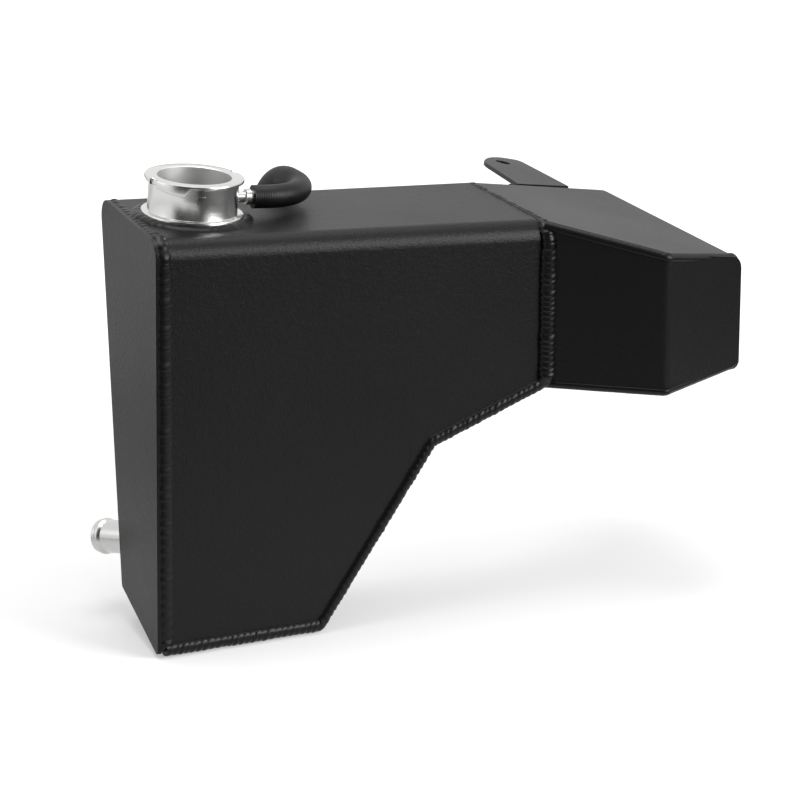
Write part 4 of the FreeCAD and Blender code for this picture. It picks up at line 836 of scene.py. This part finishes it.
# Outlet pipe, drawn aluminium tube welded through the rear wall, with a rolled bead that
# keeps the coolant hose on.
outlet_profile = (
    (7.95, -10.0), (9.35, -10.0), (9.55, -9.8), (9.55, 26.2), (9.28, 26.5), (9.28, 27.1),
    (9.55, 27.5), (9.95, 28.1), (10.35, 28.9), (10.45, 29.7), (10.35, 30.4), (9.95, 31.1),
    (9.55, 31.6), (9.55, 33.5), (9.2, 34.0), (8.3, 34.0), (7.95, 33.7),
)
outlet = turned("outlet_pipe_beaded", [(angle, outlet_profile) for angle in ROUND], OUTLET_AXIS, OUTLET_BASE)
finish_piece(outlet, "bare_tube", turned_metal("bare_outlet", (0.62, 0.62, 0.61), OUTLET_BASE, OUTLET_AXIS,
                                               0.20, 0.32, 0.25), "outlet_pipe")

# Floor of pale studio paper, which takes the tank's soft shadow. Round the tank the paper is painted darker, and
# what the tank mirrors of it is painted too.
floor_height = cad_box[0][2] - 0.0006
FLOOR_REACH = 6
FLOOR_TONE = 0.62
floor_mesh = bpy.data.meshes.new("studio_floor")
floor_mesh.from_pydata([(FLOOR_REACH * side_x, FLOOR_REACH * side_y, floor_height)
                        for side_x, side_y in ((-1, -1), (1, -1), (1, 1), (-1, 1))],
                       [], [(0, 1, 2, 3)])
floor = bpy.data.objects.new("studio_floor", floor_mesh)
bpy.context.scene.collection.objects.link(floor)
FLOOR_PAPER = bpy.data.materials.new("studio_paper")
FLOOR_PAPER.use_nodes = True
paper_tree = FLOOR_PAPER.node_tree
paper_shader = paper_tree.nodes["Principled BSDF"]
paper_shader.inputs["Roughness"].default_value = 1.0
paper_shader.inputs["Specular IOR Level"].default_value = 0.0
paper_shader.inputs["Emission Color"].default_value = (1, 1, 1, 1)
paper_path = paper_tree.nodes.new("ShaderNodeLightPath")
# Painted reflection: only as mirrored in the tank, the paper is painted darker in front and in a patch on the
# unlit side, and painted brighter at the left and at the back
paper_place = paper_tree.nodes.new("ShaderNodeTexCoord").outputs["Object"]
paper_far = vector_maths(paper_tree, "LENGTH", vector_maths(paper_tree, "SUBTRACT", paper_place,
                                                            (-0.12, -0.12, floor_height)))
paper_painted_front_fade = add_node(paper_tree, "ShaderNodeMapRange",
                      (("Value", paper_far), ("From Min", 0.15), ("From Max", 0.64),
                       ("To Min", 1.0), ("To Max", 0.08)))
paper_patch = add_node(paper_tree, "ShaderNodeMapping",
                       (("Vector", paper_place), ("Location", (-0.66, -0.90, floor_height)),
                        ("Rotation", Euler((0, 0, math.radians(-120)))), ("Scale", (0.66, 0.43, 1.0))),
                       vector_type="TEXTURE").outputs["Vector"]
paper_painted_dark_patch = add_node(paper_tree, "ShaderNodeMapRange",
                      (("Value", vector_maths(paper_tree, "LENGTH", paper_patch)), ("From Min", 0.86),
                       ("From Max", 1.06), ("To Min", 0.06), ("To Max", 1.0)), interpolation_type="SMOOTHSTEP")
paper_split = add_node(paper_tree, "ShaderNodeSeparateXYZ", ((0, paper_place),))
paper_painted_bright_left = add_node(paper_tree, "ShaderNodeMapRange",
                      (("Value", paper_split.outputs[0]), ("From Min", -0.92), ("From Max", -0.66),
                       ("To Min", 1.15), ("To Max", 0.0)), interpolation_type="SMOOTHSTEP")
paper_painted_bright_back = add_node(paper_tree, "ShaderNodeMapRange",
                      (("Value", paper_split.outputs[1]), ("From Min", 0.0), ("From Max", 0.45),
                       ("To Min", 0.0), ("To Max", 0.76)), interpolation_type="SMOOTHSTEP")
paper_painted_reflection_tone = maths(paper_tree, "MULTIPLY", paper_painted_dark_patch.outputs["Result"], maths(
    paper_tree, "MAXIMUM", paper_painted_front_fade.outputs["Result"],
    maths(paper_tree, "MAXIMUM", paper_painted_bright_left.outputs["Result"], paper_painted_bright_back.outputs["Result"])))
paper_gloss = maths(paper_tree, "MAXIMUM", paper_path.outputs["Is Glossy Ray"],
                    paper_path.outputs["Is Transmission Ray"])
# Seen by the camera the paper glows less near the tank than far off: painted shade round the tank's foot, added to
# its own shadow.
paper_glow_with_painted_shade = add_node(paper_tree, "ShaderNodeMapRange",
                        (("Value", paper_far), ("From Min", 0.25), ("From Max", 0.70),
                         ("To Min", 0.36), ("To Max", 0.58)), interpolation_type="SMOOTHSTEP")
paper_seen = maths(paper_tree, "ADD",
                   maths(paper_tree, "MULTIPLY", paper_path.outputs["Is Camera Ray"],
                         paper_glow_with_painted_shade.outputs["Result"]),
                   maths(paper_tree, "MULTIPLY", maths(paper_tree, "MULTIPLY", paper_gloss, paper_painted_reflection_tone), 0.36))
paper_tree.links.new(paper_seen, paper_shader.inputs["Emission Strength"])
# The paper's colour in reflections is dimmed by the same painted reflection tone.
paper_lost = maths(paper_tree, "MULTIPLY", paper_gloss,
                   maths(paper_tree, "SUBTRACT", 1.0, paper_painted_reflection_tone))
paper_tone = maths(paper_tree, "MULTIPLY", FLOOR_TONE, maths(paper_tree, "SUBTRACT", 1.0, paper_lost))
paper_tree.links.new(add_node(paper_tree, "ShaderNodeCombineXYZ",
                              ((0, paper_tone), (1, paper_tone), (2, paper_tone))).outputs[0],
                     paper_shader.inputs["Base Color"])
floor.data.materials.append(FLOOR_PAPER)

# Studio light: a pale room with one unlit side, a wide soft box overhead, a strong one in front
# at the right and a weak one at the left.
UNLIT = (-0.50, -0.866, 0.0)
world = bpy.data.worlds.new("studio_room")
bpy.context.scene.world = world
world.use_nodes = True
room_tree = world.node_tree
room_tree.nodes.clear()
room_out = room_tree.nodes.new("ShaderNodeOutputWorld")
room_path = room_tree.nodes.new("ShaderNodeLightPath")
room_mirrored = maths(room_tree, "MAXIMUM", room_path.outputs["Is Glossy Ray"],
                      room_path.outputs["Is Transmission Ray"])
room_way = room_tree.nodes.new("ShaderNodeTexCoord").outputs["Generated"]
room_flat = vector_maths(room_tree, "NORMALIZE", vector_maths(room_tree, "MULTIPLY", room_way, (1, 1, 0)))
room_side = vector_maths(room_tree, "DOT_PRODUCT", room_flat, UNLIT)
room_dark = add_node(room_tree, "ShaderNodeMapRange",
                     (("Value", room_side), ("From Min", 0.60), ("From Max", 0.88),
                      ("To Min", 1.0), ("To Max", 0.08)), interpolation_type="SMOOTHSTEP").outputs["Result"]
room_level = maths(room_tree, "ADD", maths(room_tree, "MULTIPLY", room_mirrored, room_dark),
                   maths(room_tree, "ADD", room_path.outputs["Is Camera Ray"],
                         maths(room_tree, "MULTIPLY", room_path.outputs["Is Diffuse Ray"], 0.55)))
room_light = add_node(room_tree, "ShaderNodeBackground", (("Color", (1, 1, 1, 1)), ("Strength", room_level)))
room_tree.links.new(room_light.outputs[0], room_out.inputs["Surface"])


def soft_box(name, place, target, size, power):
    data = bpy.data.lights.new(name, "AREA")
    data.shape = "RECTANGLE"
    data.size = size[0]
    data.size_y = size[1]
    data.energy = power
    item = bpy.data.objects.new(name, data)
    item.location = place
    item.rotation_euler = (Vector(target) - Vector(place)).to_track_quat("-Z", "Y").to_euler()
    bpy.context.scene.collection.objects.link(item)


soft_box("overhead_box", (-0.22, 0.04, 1.25), (-0.12, -0.10, 0.0), (1.1, 0.9), 13.5)
soft_box("left_box", (-1.6, 0.3, 0.6), (-0.1, -0.1, -0.05), (0.8, 0.8), 1.0)
soft_box("front_box", (0.75, -1.35, 0.60), (-0.1, -0.1, -0.05), (1.0, 1.0), 26.0)

# Camera at the photograph's place, with its long lens.
TARGET = Vector((-0.11956, -0.10250, -0.10270))
HEADING = math.radians(26.91)
PITCH = math.radians(17.77)
ROLL = math.radians(0.52)
DISTANCE = 3.2295
FOCAL_PIXELS = 5554.8
FRAME_PIXELS = 800
SENSOR_MM = 36
forward = Vector((math.cos(PITCH) * math.sin(HEADING), math.cos(PITCH) * math.cos(HEADING),
                  -math.sin(PITCH)))
right = Vector((math.cos(HEADING), -math.sin(HEADING), 0))
upward = Vector((math.sin(PITCH) * math.sin(HEADING), math.sin(PITCH) * math.cos(HEADING),
                 math.cos(PITCH)))
rolled_right = right * math.cos(ROLL) + upward * math.sin(ROLL)
rolled_up = upward * math.cos(ROLL) - right * math.sin(ROLL)
camera_data = bpy.data.cameras.new("studio_camera")
camera_data.lens = FOCAL_PIXELS / FRAME_PIXELS * SENSOR_MM
camera_data.sensor_width = SENSOR_MM
camera_data.clip_end = 30
camera = bpy.data.objects.new("studio_camera", camera_data)
camera.matrix_world = Matrix.Translation(TARGET - forward * DISTANCE) @ Matrix(
    (rolled_right, rolled_up, -forward)).transposed().to_4x4()
bpy.context.scene.collection.objects.link(camera)
bpy.context.scene.camera = camera
bpy.context.scene.view_settings.view_transform = "Standard"

bpy.context.view_layer.update()
